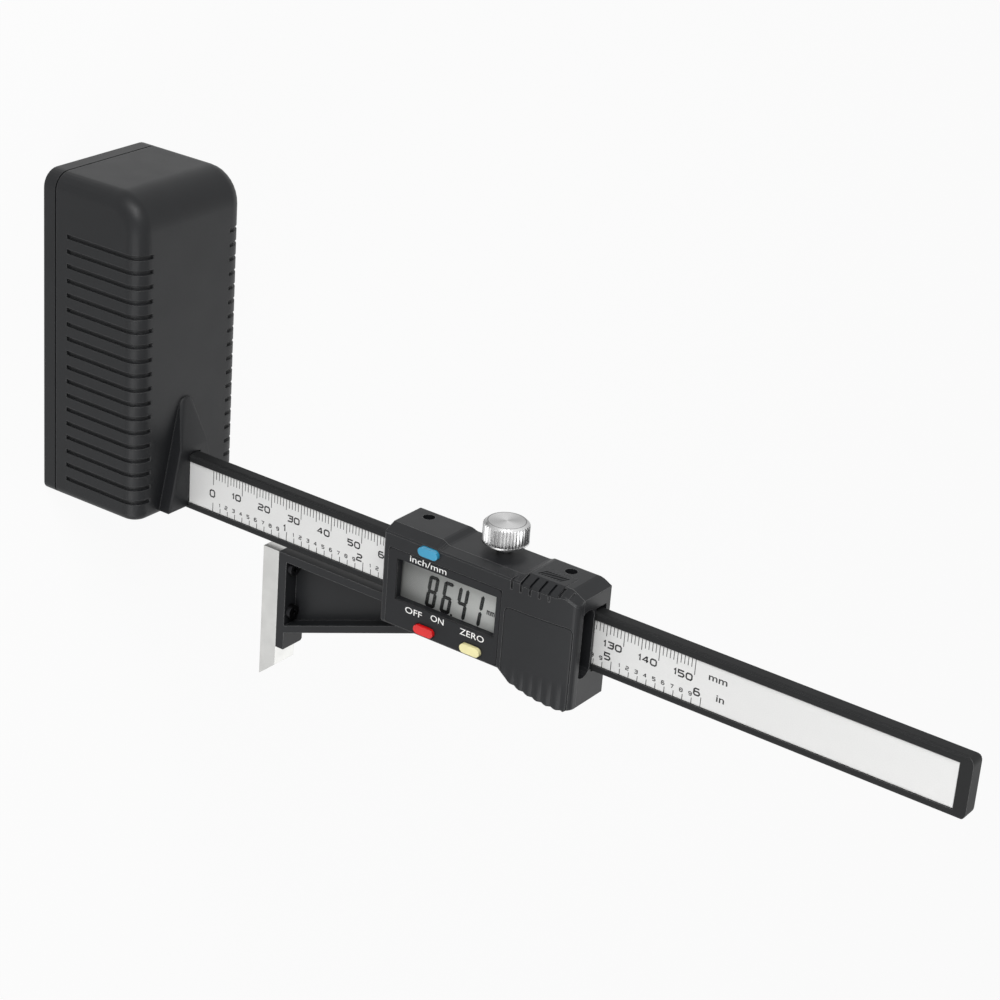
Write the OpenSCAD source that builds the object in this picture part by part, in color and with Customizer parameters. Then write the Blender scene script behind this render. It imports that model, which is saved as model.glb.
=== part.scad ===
// Digital height gauge with a moulded grip base, a flat beam and a slider with a steel blade.
// The origin lies on the foot face, below the beam's mid-plane and the middle of the base's length.
// +Z runs up the beam, +X points to the blade side, and the display faces -Y. Lengths are in
// millimetres.

/* [Base] */
// Length of the base along X
base_len = 89.6; // [86:0.2:96]
// Depth of the base along Y
base_depth = 39.8; // [38:0.2:44]
// How far the base's middle lies behind the beam's mid-plane
base_offset = 1.5; // [0:0.1:2]
// Height of the base without the boss
base_h = 33.8; // [32.6:0.2:39]
// Radius between the front, top and back faces
base_edge_r = 4.6; // [4.2:0.1:6]
// Radius between the plain end and the top face
base_end_r = 9.6; // [8.6:0.2:12]
// Wall of the grip block
base_wall = 2.6; // [2.2:0.1:3]
// How far the blade-side end leans in at the top
base_draft = 0.2; // [0.1:0.1:0.3]
// Thickness of the bottom plate
plate_t = 4.4; // [3.8:0.1:4.8]
// Number of grip grooves on each side
groove_n = 18; // [8:1:18]
// Distance between grip grooves
groove_pitch = 4; // [3:0.1:4.1]
// Width of a grip groove
groove_w = 1.2; // [1:0.1:1.6]
// Depth of a grip groove
groove_depth = 0.7; // [0.4:0.1:0.9]
// Height of the boss round the beam
boss_h = 3.8; // [3:0.1:4.2]
// Half the width of the boss at the blade-side end
boss_half_w = 9.4; // [7.5:0.1:11]
// Diameter of a holding magnet
magnet_d = 16; // [12:0.5:18]
// Thickness of a holding magnet
magnet_t = 3; // [2:0.1:3]

/* [Beam] */
// Width of the beam along X
beam_w = 16; // [15:0.1:17]
// Thickness of the beam along Y
beam_t = 4.2; // [3.8:0.1:4.6]
// Height of the beam's end above the boss
beam_rise = 230.6; // [215:0.5:260]
// Radius along the beam's long edges
beam_edge_r = 0.9; // [0.5:0.1:1]
// Radius at the corners of the beam's free end
beam_end_r = 2; // [1:0.1:3]
// Width of the scale label
label_w = 11.86; // [11:0.02:12.4]
// Thickness of the scale label
label_t = 0.2; // [0.15:0.05:0.3]
// Thickness of the measuring strip under the label
stator_t = 0.5; // [0.4:0.1:0.8]
// How far the label lies below the front of the beam
label_recess = 0.3; // [0.2:0.05:0.4]
// Length of the plain beam past the label
beam_end_rim = 3.4; // [2.5:0.1:5]

/* [Slider] */
// Length of the slider along the beam
slider_len = 57.4; // [56.4:0.2:60]
// Height of the slider above the foot face as shown
slider_rest = 110.3; // [95:0.5:150]
// From the beam's centre line to the ledges on top of the slider
ledge_x = 15; // [14.8:0.1:16]
// Depth of the scoop between the ledges
scoop_depth = 1; // [0.6:0.1:1.2]
// From the beam's centre line to the slider's lower side
lower_x = 11.4; // [11.2:0.1:12]
// From the beam's centre line to the start of the thumb grip
grip_x = 13.3; // [12.8:0.1:14]
// How far the thumb grip swells past its start
grip_swell = 3.1; // [2:0.1:3.4]
// Distance between the ridges of the thumb grip
ridge_pitch = 2.65; // [2.4:0.05:2.9]
// Height of a ridge
ridge_h = 0.5; // [0.3:0.05:0.6]
// From the beam's mid-plane to the front face of the cover
front_y = 11.45; // [11.4:0.05:12]
// From the beam's mid-plane to the joint of cover and frame
split_y = 7.6; // [7.5:0.05:7.8]
// From the beam's mid-plane to the back of the frame
back_y = 3.8; // [3.6:0.1:4.6]
// How far the front face falls back at the battery end
front_fall = 1.1; // [0.6:0.1:1.3]
// Wall of the cover's front
cover_wall = 1.2; // [1:0.05:1.3]
// Depth of the trench in the end face, in front of the beam
trench_depth = 3; // [2.4:0.1:3.6]

/* [Arm and blade] */
// Distance from the slider down to the arm's flange
arm_drop = 40.8; // [36:0.2:44]
// How far the arm's flange reaches from the beam's centre line
arm_reach = 37.6; // [36:0.2:42]
// Depth of the arm along Y behind the beam's front face
arm_back_y = 5.6; // [5.2:0.1:6.5]
// Thickness of the arm's web
web_t = 3.4; // [2.4:0.1:4]
// Thickness of the arm's flange
flange_t = 2.6; // [2:0.1:3.2]
// Width of the rims round the arm's web
arm_rim = 2.1; // [1.6:0.1:2.6]
// Thickness of the blade along Z
blade_t = 5.2; // [4.5:0.1:6]
// How far the blade reaches from the beam's centre line
blade_reach = 47.5; // [45:0.5:60]
// Length of the slanted cut at the blade's tip
blade_cut = 4.4; // [3:0.1:6]

/* [Lock screw] */
// Diameter of the knurled head
knob_d = 11.7; // [10:0.1:13]
// Height of the knurled head
knob_h = 5.5; // [4.5:0.1:7]
// Number of flutes on the head
flute_n = 40; // [24:2:44]
// Diameter of the screw's shank
lock_d = 4; // [3.4:0.1:4]
// Clear height under the head's collar
knob_gap = 1.9; // [1:0.1:2.5]

/* [Display and buttons] */
// From the display opening to the end of the film round it
view_margin = 1.3; // [1.2:0.1:3]
// Height of the display opening across the beam
view_w = 11.2; // [10:0.1:11.5]
// Depth of the display opening
view_depth = 2.2; // [1.8:0.1:2.4]
// Length of a button
button_len = 6; // [5:0.1:6.6]
// Width of a button
button_w = 2.4; // [2:0.1:2.6]
// How far a button stands proud of the cover
button_proud = 0.9; // [0.7:0.05:1.2]
// Travel of a button
button_travel = 0.6; // [0.4:0.05:0.6]
// Diameter of the button cell
cell_d = 11.6; // [11.2:0.1:11.6]
// Thickness of the button cell
cell_t = 5.4; // [5:0.1:5.4]

/* [Fits] */
// Clearance of a running or sliding fit
fit = 0.05; // [0.04:0.01:0.08]
// Clearance of the beam in the slider and of loose pieces
slack = 0.1; // [0.08:0.01:0.15]

/* [Hidden] */
$fn = 48;
// A cut runs this far past the face that it opens
past = 1;

// Base
blend_fn = 32;
end_small_r = 2.2;
seam_h = 0.4;
seam_depth = 0.5;
plate_chamfer = 0.5;
boss_top = base_h + boss_h;
boss_len = 30.2;
boss_tip_r = 2.6;
boss_tip_h = 0.8;
boss_edge = 0.4;
boss_step = 0.8;
groove_first = base_len/2 - 5.8;
groove_foot = plate_t + 4.2;
cavity_x = base_len/2 - base_wall;
cavity_y = base_depth/2 - base_wall;
cavity_top = base_h - base_wall;
cavity_bevel = 3;
post_d = 7;
post_end_inset = 7.6;
post_side_inset = 5.6;
post_x = base_len/2 - post_end_inset;
post_y = base_depth/2 - post_side_inset;
base_screw_d = 3;
base_screw_len = 14;
base_screw_head_d = 5.6;
base_screw_head_h = 1.5;
magnet_x = 24;
socket_end_wall = 0.3;

// Beam
// Wall of the base past the beam
beam_end_wall = 0.8;
beam_x = base_len/2 - beam_end_wall - beam_w/2;
beam_top = boss_top + beam_rise;
beam_foot = plate_t + fit;
socket_half_x = beam_w/2 + 2.6;
socket_floor = 2;
socket_foot = plate_t + socket_floor;
beam_screw_d = 3;
beam_screw_head_d = 5.4;
beam_screw_first = 10;
// Room between the upper screw's head and the housing's ceiling
beam_screw_top_gap = 2.1;
beam_screw_z = [plate_t + beam_screw_first, cavity_top - beam_screw_top_gap - beam_screw_head_d/2];
beam_screw_head_h = 1.8;
// The screws' heads stay clear of the housing's posts
post_gap = 0.9;
socket_y = post_y - base_offset - post_d/2 - beam_screw_head_h - post_gap;
boss_end = beam_x + beam_w/2 - boss_step;
// The boss is at its full height this far before the beam
ramp_gap = 2;
ramp_x = beam_x - beam_w/2 - ramp_gap;
label_foot = boss_top + slack;
label_top = beam_top - beam_end_rim;
label_front = -beam_t/2 + label_recess;
stator_front = label_front + label_t;
recess_floor = stator_front + stator_t + fit;

// Slider outline, measured from the beam's centre line and from the slider's lower end
scoop_start = 14.9;
scoop_ramp = 2.5;
scoop_end_reach = 18.3;
scoop_end = slider_len - scoop_end_reach;
bevel_reach = 3.6;
bevel_start = slider_len - bevel_reach;
bevel_x = 1.9;
grip_reach = 21;
grip_start = slider_len - grip_reach;
grip_ramp = 2.5;
front_top_x = 13.7;
front_end_r = 1.3;
fall_reach = 18.6;
fall_start = slider_len - fall_reach;
door_reach = 20;
door_start = slider_len - door_reach;
door_rim = 1;
door_end = slider_len - door_rim;
end_edge = 0.6;
scoop_x = ledge_x - scoop_depth;
back_chamfer = 1.1;

// Channel and cavities
gib_t = 1;
gib_half_y = 1.8;
gib_end_gap = 2;
channel_top = -beam_w/2 - gib_t - 2*fit;
channel_low = beam_w/2 + slack;
channel_y = beam_t/2 + slack;
window_half_w = 6.1;
board_t = 0.8;
board_back = -3;
board_front = board_back - board_t;
board_top = -12.6;
board_low = 9.7;
board_start = 3.4;
board_rim = 2.4;
board_end = slider_len - trench_depth - board_rim;
room_top = -11.2;
trench_top = -9.8;
trench_low = 8.4;
trench_lip = 0.7;
trench_r = 2.3;
// The trench reaches past the joint, so that the cover's end closes its front
trench_front = split_y + 0.6;
front_inner = -front_y + cover_wall;

// Gib screws and lock screw
gib_screw_d = 3;
gib_screw_len = 3.6;
gib_screw_first = 4.9;
gib_screw_reach = 9.4;
gib_screw_z = [gib_screw_first, slider_len - gib_screw_reach];
lock_offset = 0.4;
lock_z = slider_len/2 - lock_offset;
pad_t = 1;
collar_d = 9.4;
collar_t = 0.5;
knob_top_d = knob_d - 1.8;
knob_chamfer = 0.8;
flute_depth = 0.35;

// Display stack
view_top = -7.5;
view_low = view_top + view_w;
view_start = 4.4;
fascia_gap = 1.4;
fascia_end = door_start - fascia_gap;
view_end = fascia_end - view_margin;
view_lip = 0.8;
window_t = 0.8;
window_front = -front_y + view_depth;
lcd_t = 1.8;
lcd_front = window_front + window_t + fit;
lcd_back = lcd_front + lcd_t;
zebra_w = 1.2;
fascia_t = 0.25;
fascia_proud = 0.05;
fascia_start = 1.8;
fascia_top = -9.7;
fascia_low = 10.8;
fascia_r = 1;

// Buttons
unit_at = [-12.2, 14];
power_at = [9.15, 14.1];
zero_reach = 7.6;
zero_at = [9.15, fascia_end - zero_reach];
button_wall = 0.15;
flange_grow = 0.8;
flange_thick = 0.8;
peg_d = 1.6;
dome_d = 3;
dome_h = 0.5;
unit_peg_x = -11;
low_peg_x = 8.2;

// Battery and its door
door_tongue_t = 0.35;
cell_reach = 11.5;
cell_at = [3.4, slider_len - cell_reach];
cell_front = front_inner + fit + door_tongue_t + slack;
cell_back = cell_front + cell_t;
door_top = -5.9;
door_t = 1.55;
door_back = -front_y + door_t;
door_lip = 12.2;
door_corner_r = 1.3;
door_clear = 10;
door_tongue_len = 9;
door_tongue_reach = 1.5;
door_gap = 0.15;
minus_half_len = 4;

// Data port cover
port_reach = 16.2;
port_start = slider_len - port_reach;
port_len = 10.4;
port_end = port_start + port_len;
port_back = 2.6;
port_t = 1.2;
port_front_x = -13;
port_hole = [5, 2.4];
port_mark_n = 8;
port_mark_pitch = 0.87;
port_mark_first = 2.2;
port_mark_half_w = 0.2;
port_mark_half_len = 1.4;
port_mark_depth = 0.45;
notch_n = 7;
notch_w = 0.6;
notch_depth = 0.55;
notch_low = -10.6;
notch_start = fall_start;

// Fasteners of the cover and the blade
cover_screw_d = 1.6;
cover_screw_head_d = 2.6;
cover_screw_head_h = 1;
cover_screw_first = 1.7;
cover_screw_last = slider_len - 2.4;
cover_screw_at = [[-11.8, cover_screw_first], [9.4, cover_screw_first], [-12.5, cover_screw_last],
    [11, cover_screw_last]];
cover_screw_tip = -9.2;
blade_screw_d = 2.5;
blade_screw_head_d = 3.8;
blade_screw_head_h = 1.4;
blade_screw_depth = 4;
blade_screw_x = [14.2, 26.8];
blade_screw_y = 0.1;

// Arm
arm_start_x = beam_w/2 + 1.5;
arm_front_y = -2.2;
arm_low_x = 32.6;
arm_meet_x = lower_x;
arm_meet_z = 20;
foot_chamfer = 0.5;

// Shape helpers

// Points of an arc about [cx, cy] from angle a0 to a1
function arc(cx, cy, r, a0, a1, n = 6) =
    [for (i = [0:n]) let (a = a0 + (a1 - a0)*i/n) [cx + r*cos(a), cy + r*sin(a)]];

// Outline of a rectangle with round corners, between two corners
function round_rect(x0, y0, x1, y1, r, n = 4) = concat(
    arc(x1 - r, y1 - r, r, 0, 90, n),
    arc(x0 + r, y1 - r, r, 90, 180, n),
    arc(x0 + r, y0 + r, r, 180, 270, n),
    arc(x1 - r, y0 + r, r, 270, 360, n));

// A value that eases from 0 to 1 between a and b
function ease(x, a, b) = x <= a ? 0 : x >= b ? 1 : (1 - cos(180*(x - a)/(b - a)))/2;

// A plain block between two corners
module block(from, to) {
    translate(from)
        cube(to - from);
}

// A flat outline in X and Z, given a thickness from y0 to y1
module along_y(y0, y1) {
    translate([0, y1, 0])
        rotate([90, 0, 0])
            linear_extrude(y1 - y0)
                children();
}

// A flat outline in Y and Z, given a length from x0 to x1
module along_x(x0, x1) {
    translate([x0, 0, 0])
        rotate([90, 0, 90])
            linear_extrude(x1 - x0)
                children();
}

// A round bar along Y from y0 to y1
module bar_y(d, y0, y1) {
    translate([0, y1, 0])
        rotate([90, 0, 0])
            cylinder(d = d, h = y1 - y0);
}

// A round bar along X from x0 to x1
module bar_x(d, x0, x1) {
    translate([x0, 0, 0])
        rotate([0, 90, 0])
            cylinder(d = d, h = x1 - x0);
}

// The slider's own origin: the beam's centre line at the slider's lower end
module at_slider() {
    translate([beam_x, 0, slider_rest])
        children();
}

// A solid skin over a row of outlines that all have the same number of points
module loft(sections) {
    n = len(sections[0]);
    m = len(sections);
    points = [for (s = sections) each s];
    sides = [for (i = [0:m - 2], j = [0:n - 1])
        each [[i*n + j, (i + 1)*n + j, (i + 1)*n + (j + 1)%n],
            [i*n + j, (i + 1)*n + (j + 1)%n, i*n + (j + 1)%n]]];
    first = [for (j = [0:n - 1]) j];
    last = [for (j = [n - 1:-1:0]) (m - 1)*n + j];
    polyhedron(points, concat([first, last], sides), convexity = 6);
}

// The base's own origin: the middle of the foot face
module at_base() {
    translate([0, base_offset, 0])
        children();
}

// Base

// Outer form of the grip block with its edges blended
module grip_form() {
    edge_y = base_depth/2 - base_edge_r;
    top_x = base_len/2 - base_draft - end_small_r;
    hull() {
        for (side = [-1, 1]) {
            translate([-base_len/2 + base_end_r, side*edge_y, base_h - base_end_r])
                rotate([90, 0, 0])
                    rotate_extrude($fn = blend_fn)
                        intersection() {
                            translate([base_end_r - base_edge_r, 0])
                                circle(base_edge_r, $fn = blend_fn);
                            translate([0, -base_edge_r])
                                square([base_end_r, 2*base_edge_r]);
                        }
            translate([-base_len/2 + base_edge_r, side*edge_y, plate_t])
                cylinder(r = base_edge_r, h = 1, $fn = blend_fn);
            translate([top_x, side*edge_y, base_h - base_edge_r])
                rotate([0, 90, 0])
                    rotate_extrude($fn = blend_fn)
                        translate([base_edge_r - end_small_r, 0])
                            circle(end_small_r, $fn = blend_fn);
            translate([base_len/2 - end_small_r, side*(base_depth/2 - end_small_r), plate_t])
                cylinder(r = end_small_r, h = 1, $fn = blend_fn);
        }
    }
}

// Section of the grooves on one side, from the foot of the ribs over the round edge
module groove_section() {
    y = base_depth/2;
    r = base_edge_r - groove_depth;
    polygon(concat(
        [[-y - past, groove_foot], [-y + groove_depth, groove_foot]],
        arc(-y + base_edge_r, base_h - base_edge_r, r, 180, 90, 6),
        [[-y + base_edge_r + 0.6, base_h - groove_depth], [-y + base_edge_r + 1.2, base_h + past],
            [-y - past, base_h + past]]));
}

module grip_grooves() {
    for (i = [0:groove_n - 1], side = [0, 1])
        translate([groove_first - i*groove_pitch - groove_w/2, 0, 0])
            mirror([0, side, 0])
                along_x(0, groove_w)
                    groove_section();
}

// Plan of the boss: a tongue with a round tip that widens towards the blade side
function boss_plan(grow) = concat(
    [[boss_end + grow, -boss_half_w - grow], [boss_end + grow, boss_half_w + grow]],
    arc(boss_end - boss_len + boss_tip_r, 0, boss_tip_r + grow, 90, 270, 8));

// The boss, which rises from its tip to the beam
module boss_form() {
    foot = base_h - base_wall;
    tip_top = base_h + boss_tip_h;
    hull() {
        for (part = [[0, boss_edge], [-boss_edge, 0]]) {
            translate([0, 0, foot])
                linear_extrude(tip_top - foot - part[1])
                    polygon(boss_plan(part[0]));
            intersection() {
                translate([0, 0, foot])
                    linear_extrude(boss_top - foot - part[1])
                        polygon(boss_plan(part[0]));
                block([ramp_x, -base_depth, foot], [base_len, base_depth, boss_top + past]);
            }
        }
    }
}

// Space inside the grip block, open below
module grip_cavity() {
    intersection() {
        along_y(-cavity_y, cavity_y)
            polygon([[-cavity_x, plate_t - past], [cavity_x, plate_t - past],
                [cavity_x - base_draft, cavity_top], [-cavity_x + base_end_r - base_wall, cavity_top],
                [-cavity_x, cavity_top - base_end_r + base_wall]]);
        along_x(-cavity_x, cavity_x)
            polygon([[-cavity_y, plate_t - past], [cavity_y, plate_t - past],
                [cavity_y, cavity_top - cavity_bevel], [cavity_y - cavity_bevel, cavity_top],
                [-cavity_y + cavity_bevel, cavity_top], [-cavity_y, cavity_top - cavity_bevel]]);
    }
}

module base_screw_places() {
    for (sx = [-1, 1], sy = [-1, 1])
        translate([sx*post_x, base_offset + sy*post_y, 0])
            children();
}

module base_housing() {
    color([0.16, 0.16, 0.17])
        difference() {
            union() {
                at_base()
                    difference() {
                        grip_form();
                        grip_grooves();
                        grip_cavity();
                    }
                boss_form();
                block([beam_x - socket_half_x, -socket_y, socket_foot],
                    [base_len/2 - base_draft - socket_end_wall, socket_y, cavity_top + 0.5]);
                base_screw_places()
                    translate([0, 0, plate_t])
                        cylinder(d = post_d, h = base_h - plate_t - base_edge_r - 4);
            }
            // Slot for the beam
            block([beam_x - beam_w/2 - slack, -beam_t/2 - slack, 0],
                [beam_x + beam_w/2 + slack, beam_t/2 + slack, boss_top + past]);
            // Holes for the beam screws, with room for their heads
            for (z = beam_screw_z)
                translate([beam_x, 0, z]) {
                    bar_y(beam_screw_d + 2*fit, -socket_y - past, socket_y - 1);
                }
            base_screw_places()
                translate([0, 0, plate_t - past])
                    cylinder(d = base_screw_d + 2*fit, h = base_screw_len - plate_t + past + 0.5);
            // Dark line of the joint above the plate
            at_base()
                difference() {
                    block([-base_len, -base_depth, plate_t - past], [base_len, base_depth, plate_t + seam_h]);
                    translate([0, 0, plate_t - 2*past])
                        linear_extrude(3*past + seam_h)
                            polygon(base_plan(-seam_depth));
                }
        }
}

// Plan of the base at its joint, moved in or out by grow
function base_plan(grow) = let (x = base_len/2 + grow, y = base_depth/2 + grow) concat(
    arc(x - end_small_r, y - end_small_r, end_small_r, 0, 90, 6),
    arc(-x + base_edge_r, y - base_edge_r, base_edge_r, 90, 180, 8),
    arc(-x + base_edge_r, -y + base_edge_r, base_edge_r, 180, 270, 8),
    arc(x - end_small_r, -y + end_small_r, end_small_r, 270, 360, 6));

module base_plate() {
    color([0.13, 0.13, 0.14])
        difference() {
            at_base() {
                translate([0, 0, plate_chamfer])
                    linear_extrude(plate_t - plate_chamfer)
                        polygon(base_plan(0));
                linear_extrude(plate_chamfer + 0.1)
                    polygon(base_plan(-plate_chamfer));
            }
            for (side = [-1, 1])
                translate([side*magnet_x, base_offset, -past])
                    cylinder(d = magnet_d + 2*fit, h = magnet_t + past);
            base_screw_places() {
                translate([0, 0, -past])
                    cylinder(d = base_screw_d + 4*fit, h = plate_t + 2*past);
                translate([0, 0, -past])
                    cylinder(d = base_screw_head_d + 4*fit, h = base_screw_head_h + past + fit);
            }
        }
}

module base_magnets() {
    color([0.72, 0.73, 0.75])
        for (side = [-1, 1])
            translate([side*magnet_x, base_offset, 0])
                cylinder(d = magnet_d, h = magnet_t);
}

// Pan head screw along +Z from its head's outer face, with a cross recess
module screw(d, len, head_d, head_h) {
    difference() {
        union() {
            cylinder(d = head_d, h = head_h);
            cylinder(d = d, h = len);
        }
        for (turn = [0, 90])
            rotate([0, 0, turn])
                translate([-head_d/4, -head_d/14, -past])
                    cube([head_d/2, head_d/7, past + head_h/2]);
    }
}

module base_screws() {
    color([0.55, 0.56, 0.58])
        base_screw_places()
            translate([0, 0, 0.2])
                screw(base_screw_d, base_screw_len - 0.2, base_screw_head_d, base_screw_head_h - 0.2);
}

// Beam

module beam() {
    color([0.17, 0.17, 0.18])
        difference() {
            intersection() {
                translate([0, 0, beam_foot])
                    linear_extrude(beam_top - beam_foot)
                        polygon(round_rect(beam_x - beam_w/2, -beam_t/2, beam_x + beam_w/2, beam_t/2,
                            beam_edge_r));
                along_y(-beam_t, beam_t)
                    polygon(concat(
                        [[beam_x + beam_w/2, 0]],
                        arc(beam_x + beam_w/2 - beam_end_r, beam_top - beam_end_r, beam_end_r, 0, 90),
                        arc(beam_x - beam_w/2 + beam_end_r, beam_top - beam_end_r, beam_end_r, 90, 180),
                        [[beam_x - beam_w/2, 0]]));
            }
            block([beam_x - label_w/2 - fit, -beam_t, label_foot - fit],
                [beam_x + label_w/2 + fit, recess_floor, label_top + fit]);
            for (z = beam_screw_z)
                translate([beam_x, 0, z])
                    bar_y(beam_screw_d + 2*fit, -beam_t, beam_t);
        }
}

module beam_screws() {
    color([0.6, 0.61, 0.63])
        for (z = beam_screw_z)
            translate([beam_x, -socket_y - beam_screw_head_h, z])
                rotate([-90, 0, 0])
                    screw(beam_screw_d, socket_y*2 + beam_screw_head_h - 1.5, beam_screw_head_d,
                        beam_screw_head_h);
}

// A strip in the beam's recess with its front face at y0
module recess_strip(y0, t) {
    block([beam_x - label_w/2, y0, label_foot], [beam_x + label_w/2, y0 + t, label_top]);
}

module stator_strip() {
    color([0.2, 0.45, 0.25])
        recess_strip(stator_front, stator_t);
}

module scale_label() {
    color([0.88, 0.88, 0.87])
        recess_strip(label_front, label_t);
}

// Slider outline

// Distance of the top side from the centre line at height z, negative because it lies at -X
function top_x(z) =
    z <= bevel_start
        ? -ledge_x + scoop_depth*(ease(z, scoop_start, scoop_start + scoop_ramp)
            - ease(z, scoop_end, scoop_end + scoop_ramp))
        : -ledge_x + bevel_x*(z - bevel_start)/(slider_len - bevel_start);

// Distance of the lower side from the centre line at height z
function low_x(z) =
    let (from = grip_start + grip_ramp,
        t = (z - from)/(slider_len - 2 - from),
        ridge = z > from && z < slider_len - 1.8 ? ridge_h*abs(sin(180*(z - from)/ridge_pitch)) : 0,
        fall = z > slider_len - 2 ? 0.3*(z - slider_len + 2) : 0)
    z <= grip_start ? lower_x
        : z <= from ? lower_x + (grip_x - lower_x)*(z - grip_start)/grip_ramp
        : grip_x + grip_swell*(1 - pow(1 - min(t, 1), 2)) + ridge - fall;

// Front face of the cover at height z
function cover_front(z) =
    let (fall = z > fall_start ? front_fall*pow((z - fall_start)/(slider_len - 1 - fall_start), 2) : 0,
        s = max(z - (slider_len - front_end_r), 0),
        turn = front_end_r - sqrt(max(pow(front_end_r, 2) - s*s, 0)))
    -front_y + fall + turn;

// Heights at which the outline is drawn, from the lower end up
function slider_heights() = concat(
    [0, 0.5],
    [for (i = [0:4]) scoop_start + scoop_ramp*i/4],
    [for (z = [grip_start:ridge_pitch/4:slider_len - 2.1]) z],
    [for (reach = [1.9, 1.3, 0.8, 0.35, 0.1, 0]) slider_len - reach]);

// Side view of the slider in X and Z
function slider_side() = let (zs = slider_heights(), n = len(zs) - 1) concat(
    [for (i = [0:n]) [top_x(zs[i]), zs[i]]],
    [for (i = [n:-1:0]) [low_x(zs[i]), zs[i]]]);

// Section of the cover at height z, moved in by inset
function cover_section(z) =
    let (front = min(cover_front(z), -split_y - 0.35),
        r = min(end_edge, (-split_y - front)/2),
        top = top_x(z),
        edge = z > bevel_start ? -front_top_x + bevel_x*0.8*(z - bevel_start)/(slider_len - bevel_start)
            : -front_top_x,
        low = low_x(z),
        in = z < 0.4 ? 0.4 : 0)
    [[top, -split_y, z], [edge, front + r*0.6 + in, z], [edge + r*0.7, front + in, z],
        [low - r, front + in, z], [low - r*0.3, front + r*0.3 + in, z], [low, front + r + in, z],
        [low, -split_y, z]];

// Outer form of the front cover
module cover_form() {
    loft([for (z = slider_heights()) cover_section(z)]);
}

// The arm and its flange
module arm_form() {
    along_y(arm_front_y, arm_back_y)
        polygon([[arm_start_x, -arm_drop], [arm_low_x, -arm_drop], [arm_low_x, -arm_drop + flange_t],
            [arm_meet_x, arm_meet_z], [arm_start_x, arm_meet_z]]);
    translate([0, 0, -arm_drop])
        linear_extrude(flange_t)
            polygon([[arm_start_x, arm_front_y], [arm_reach, arm_front_y],
                [arm_reach, arm_back_y - foot_chamfer], [arm_reach - foot_chamfer, arm_back_y],
                [arm_start_x, arm_back_y]]);
}

// Recess in the front of the arm, inside its rims
module arm_recess() {
    slope = (arm_low_x - arm_meet_x)/(arm_meet_z + arm_drop - flange_t);
    recess_top = arm_start_x + arm_rim + 0.2;
    recess_end = slope > 0 ? (arm_low_x - arm_rim - recess_top)/slope : 1;
    along_y(arm_front_y - past, arm_back_y - web_t)
        polygon([[recess_top, -arm_drop + flange_t], [arm_low_x - arm_rim, -arm_drop + flange_t],
            [recess_top + 2, -arm_drop + flange_t + recess_end - 2/slope],
            [recess_top, -arm_drop + flange_t + recess_end - 2/slope]]);
}

module frame_cavities() {
    // Channel for the beam and the gib strip
    block([channel_top, -channel_y, -past], [channel_low, channel_y, slider_len + past]);
    // Opening in front of the scale
    block([-window_half_w, board_back - past, -past], [window_half_w, 0, board_end + slack]);
    // Room for the circuit board and the display
    block([board_top - fit - slack, -split_y - past, board_start - slack],
        [board_low + fit, board_back, board_end + slack]);
    // Trench in the end face, in front of the beam
    translate([0, 0, slider_len - trench_depth])
        linear_extrude(trench_depth + past)
            polygon(round_rect(trench_top, -trench_front, trench_low, -channel_y - trench_lip, trench_r));
}

module gib_screw_places() {
    for (z = gib_screw_z)
        translate([0, 0, z])
            children();
}

module cover_screw_places() {
    for (p = cover_screw_at)
        translate([p[0], 0, p[1]])
            children();
}

module slider_frame() {
    color([0.15, 0.15, 0.16])
        at_slider()
            difference() {
                union() {
                    intersection() {
                        along_y(-split_y, back_y)
                            polygon(slider_side());
                        translate([0, 0, -past])
                            linear_extrude(slider_len + 2*past)
                                polygon(concat(
                                    [[-ledge_x, -front_y], [ledge_x + 4, -front_y], [ledge_x + 4, back_y]],
                                    arc(-ledge_x + back_chamfer, back_y - back_chamfer, back_chamfer,
                                        90, 180, 4)));
                    }
                    arm_form();
                }
                frame_cavities();
                arm_recess();
                gib_screw_places()
                    bar_x(gib_screw_d + 2*fit, -ledge_x - past, channel_top + past/2);
                translate([0, 0, lock_z])
                    bar_x(lock_d + 2*fit, -ledge_x - past, channel_top + past/2);
                cover_screw_places() {
                    bar_y(cover_screw_d + 2*fit, -split_y - past, arm_back_y + past);
                    bar_y(cover_screw_head_d + 2*fit, back_y - cover_screw_head_h - 0.2, arm_back_y + past);
                }
                for (x = blade_screw_x)
                    translate([x, blade_screw_y, -arm_drop - past])
                        cylinder(d = blade_screw_d + 2*fit, h = flange_t + 2*past);
                port_space(slack);
                // Way through to the data port's contacts on the board
                translate([0, board_front - port_hole[1], (port_start + port_end - port_hole[0])/2])
                    block([-ledge_x, 0, 0], [board_top, port_hole[1], port_hole[0]]);
            }
}

module gib_strip() {
    color([0.78, 0.62, 0.32])
        at_slider()
            block([-beam_w/2 - fit - gib_t, -gib_half_y, gib_end_gap],
                [-beam_w/2 - fit, gib_half_y, slider_len - trench_depth - gib_end_gap]);
}

module gib_screws() {
    color([0.2, 0.2, 0.21])
        at_slider()
            gib_screw_places()
                difference() {
                    bar_x(gib_screw_d, channel_top - gib_screw_len, channel_top);
                    translate([0, -gib_screw_d/2, -0.25])
                        block([channel_top - gib_screw_len - past, 0, 0],
                            [channel_top - gib_screw_len + 0.8, gib_screw_d, 0.5]);
                }
}

module lock_pad() {
    color([0.78, 0.62, 0.32])
        at_slider()
            translate([0, 0, lock_z])
                bar_x(lock_d - 0.1, channel_top - pad_t, channel_top);
}

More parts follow.
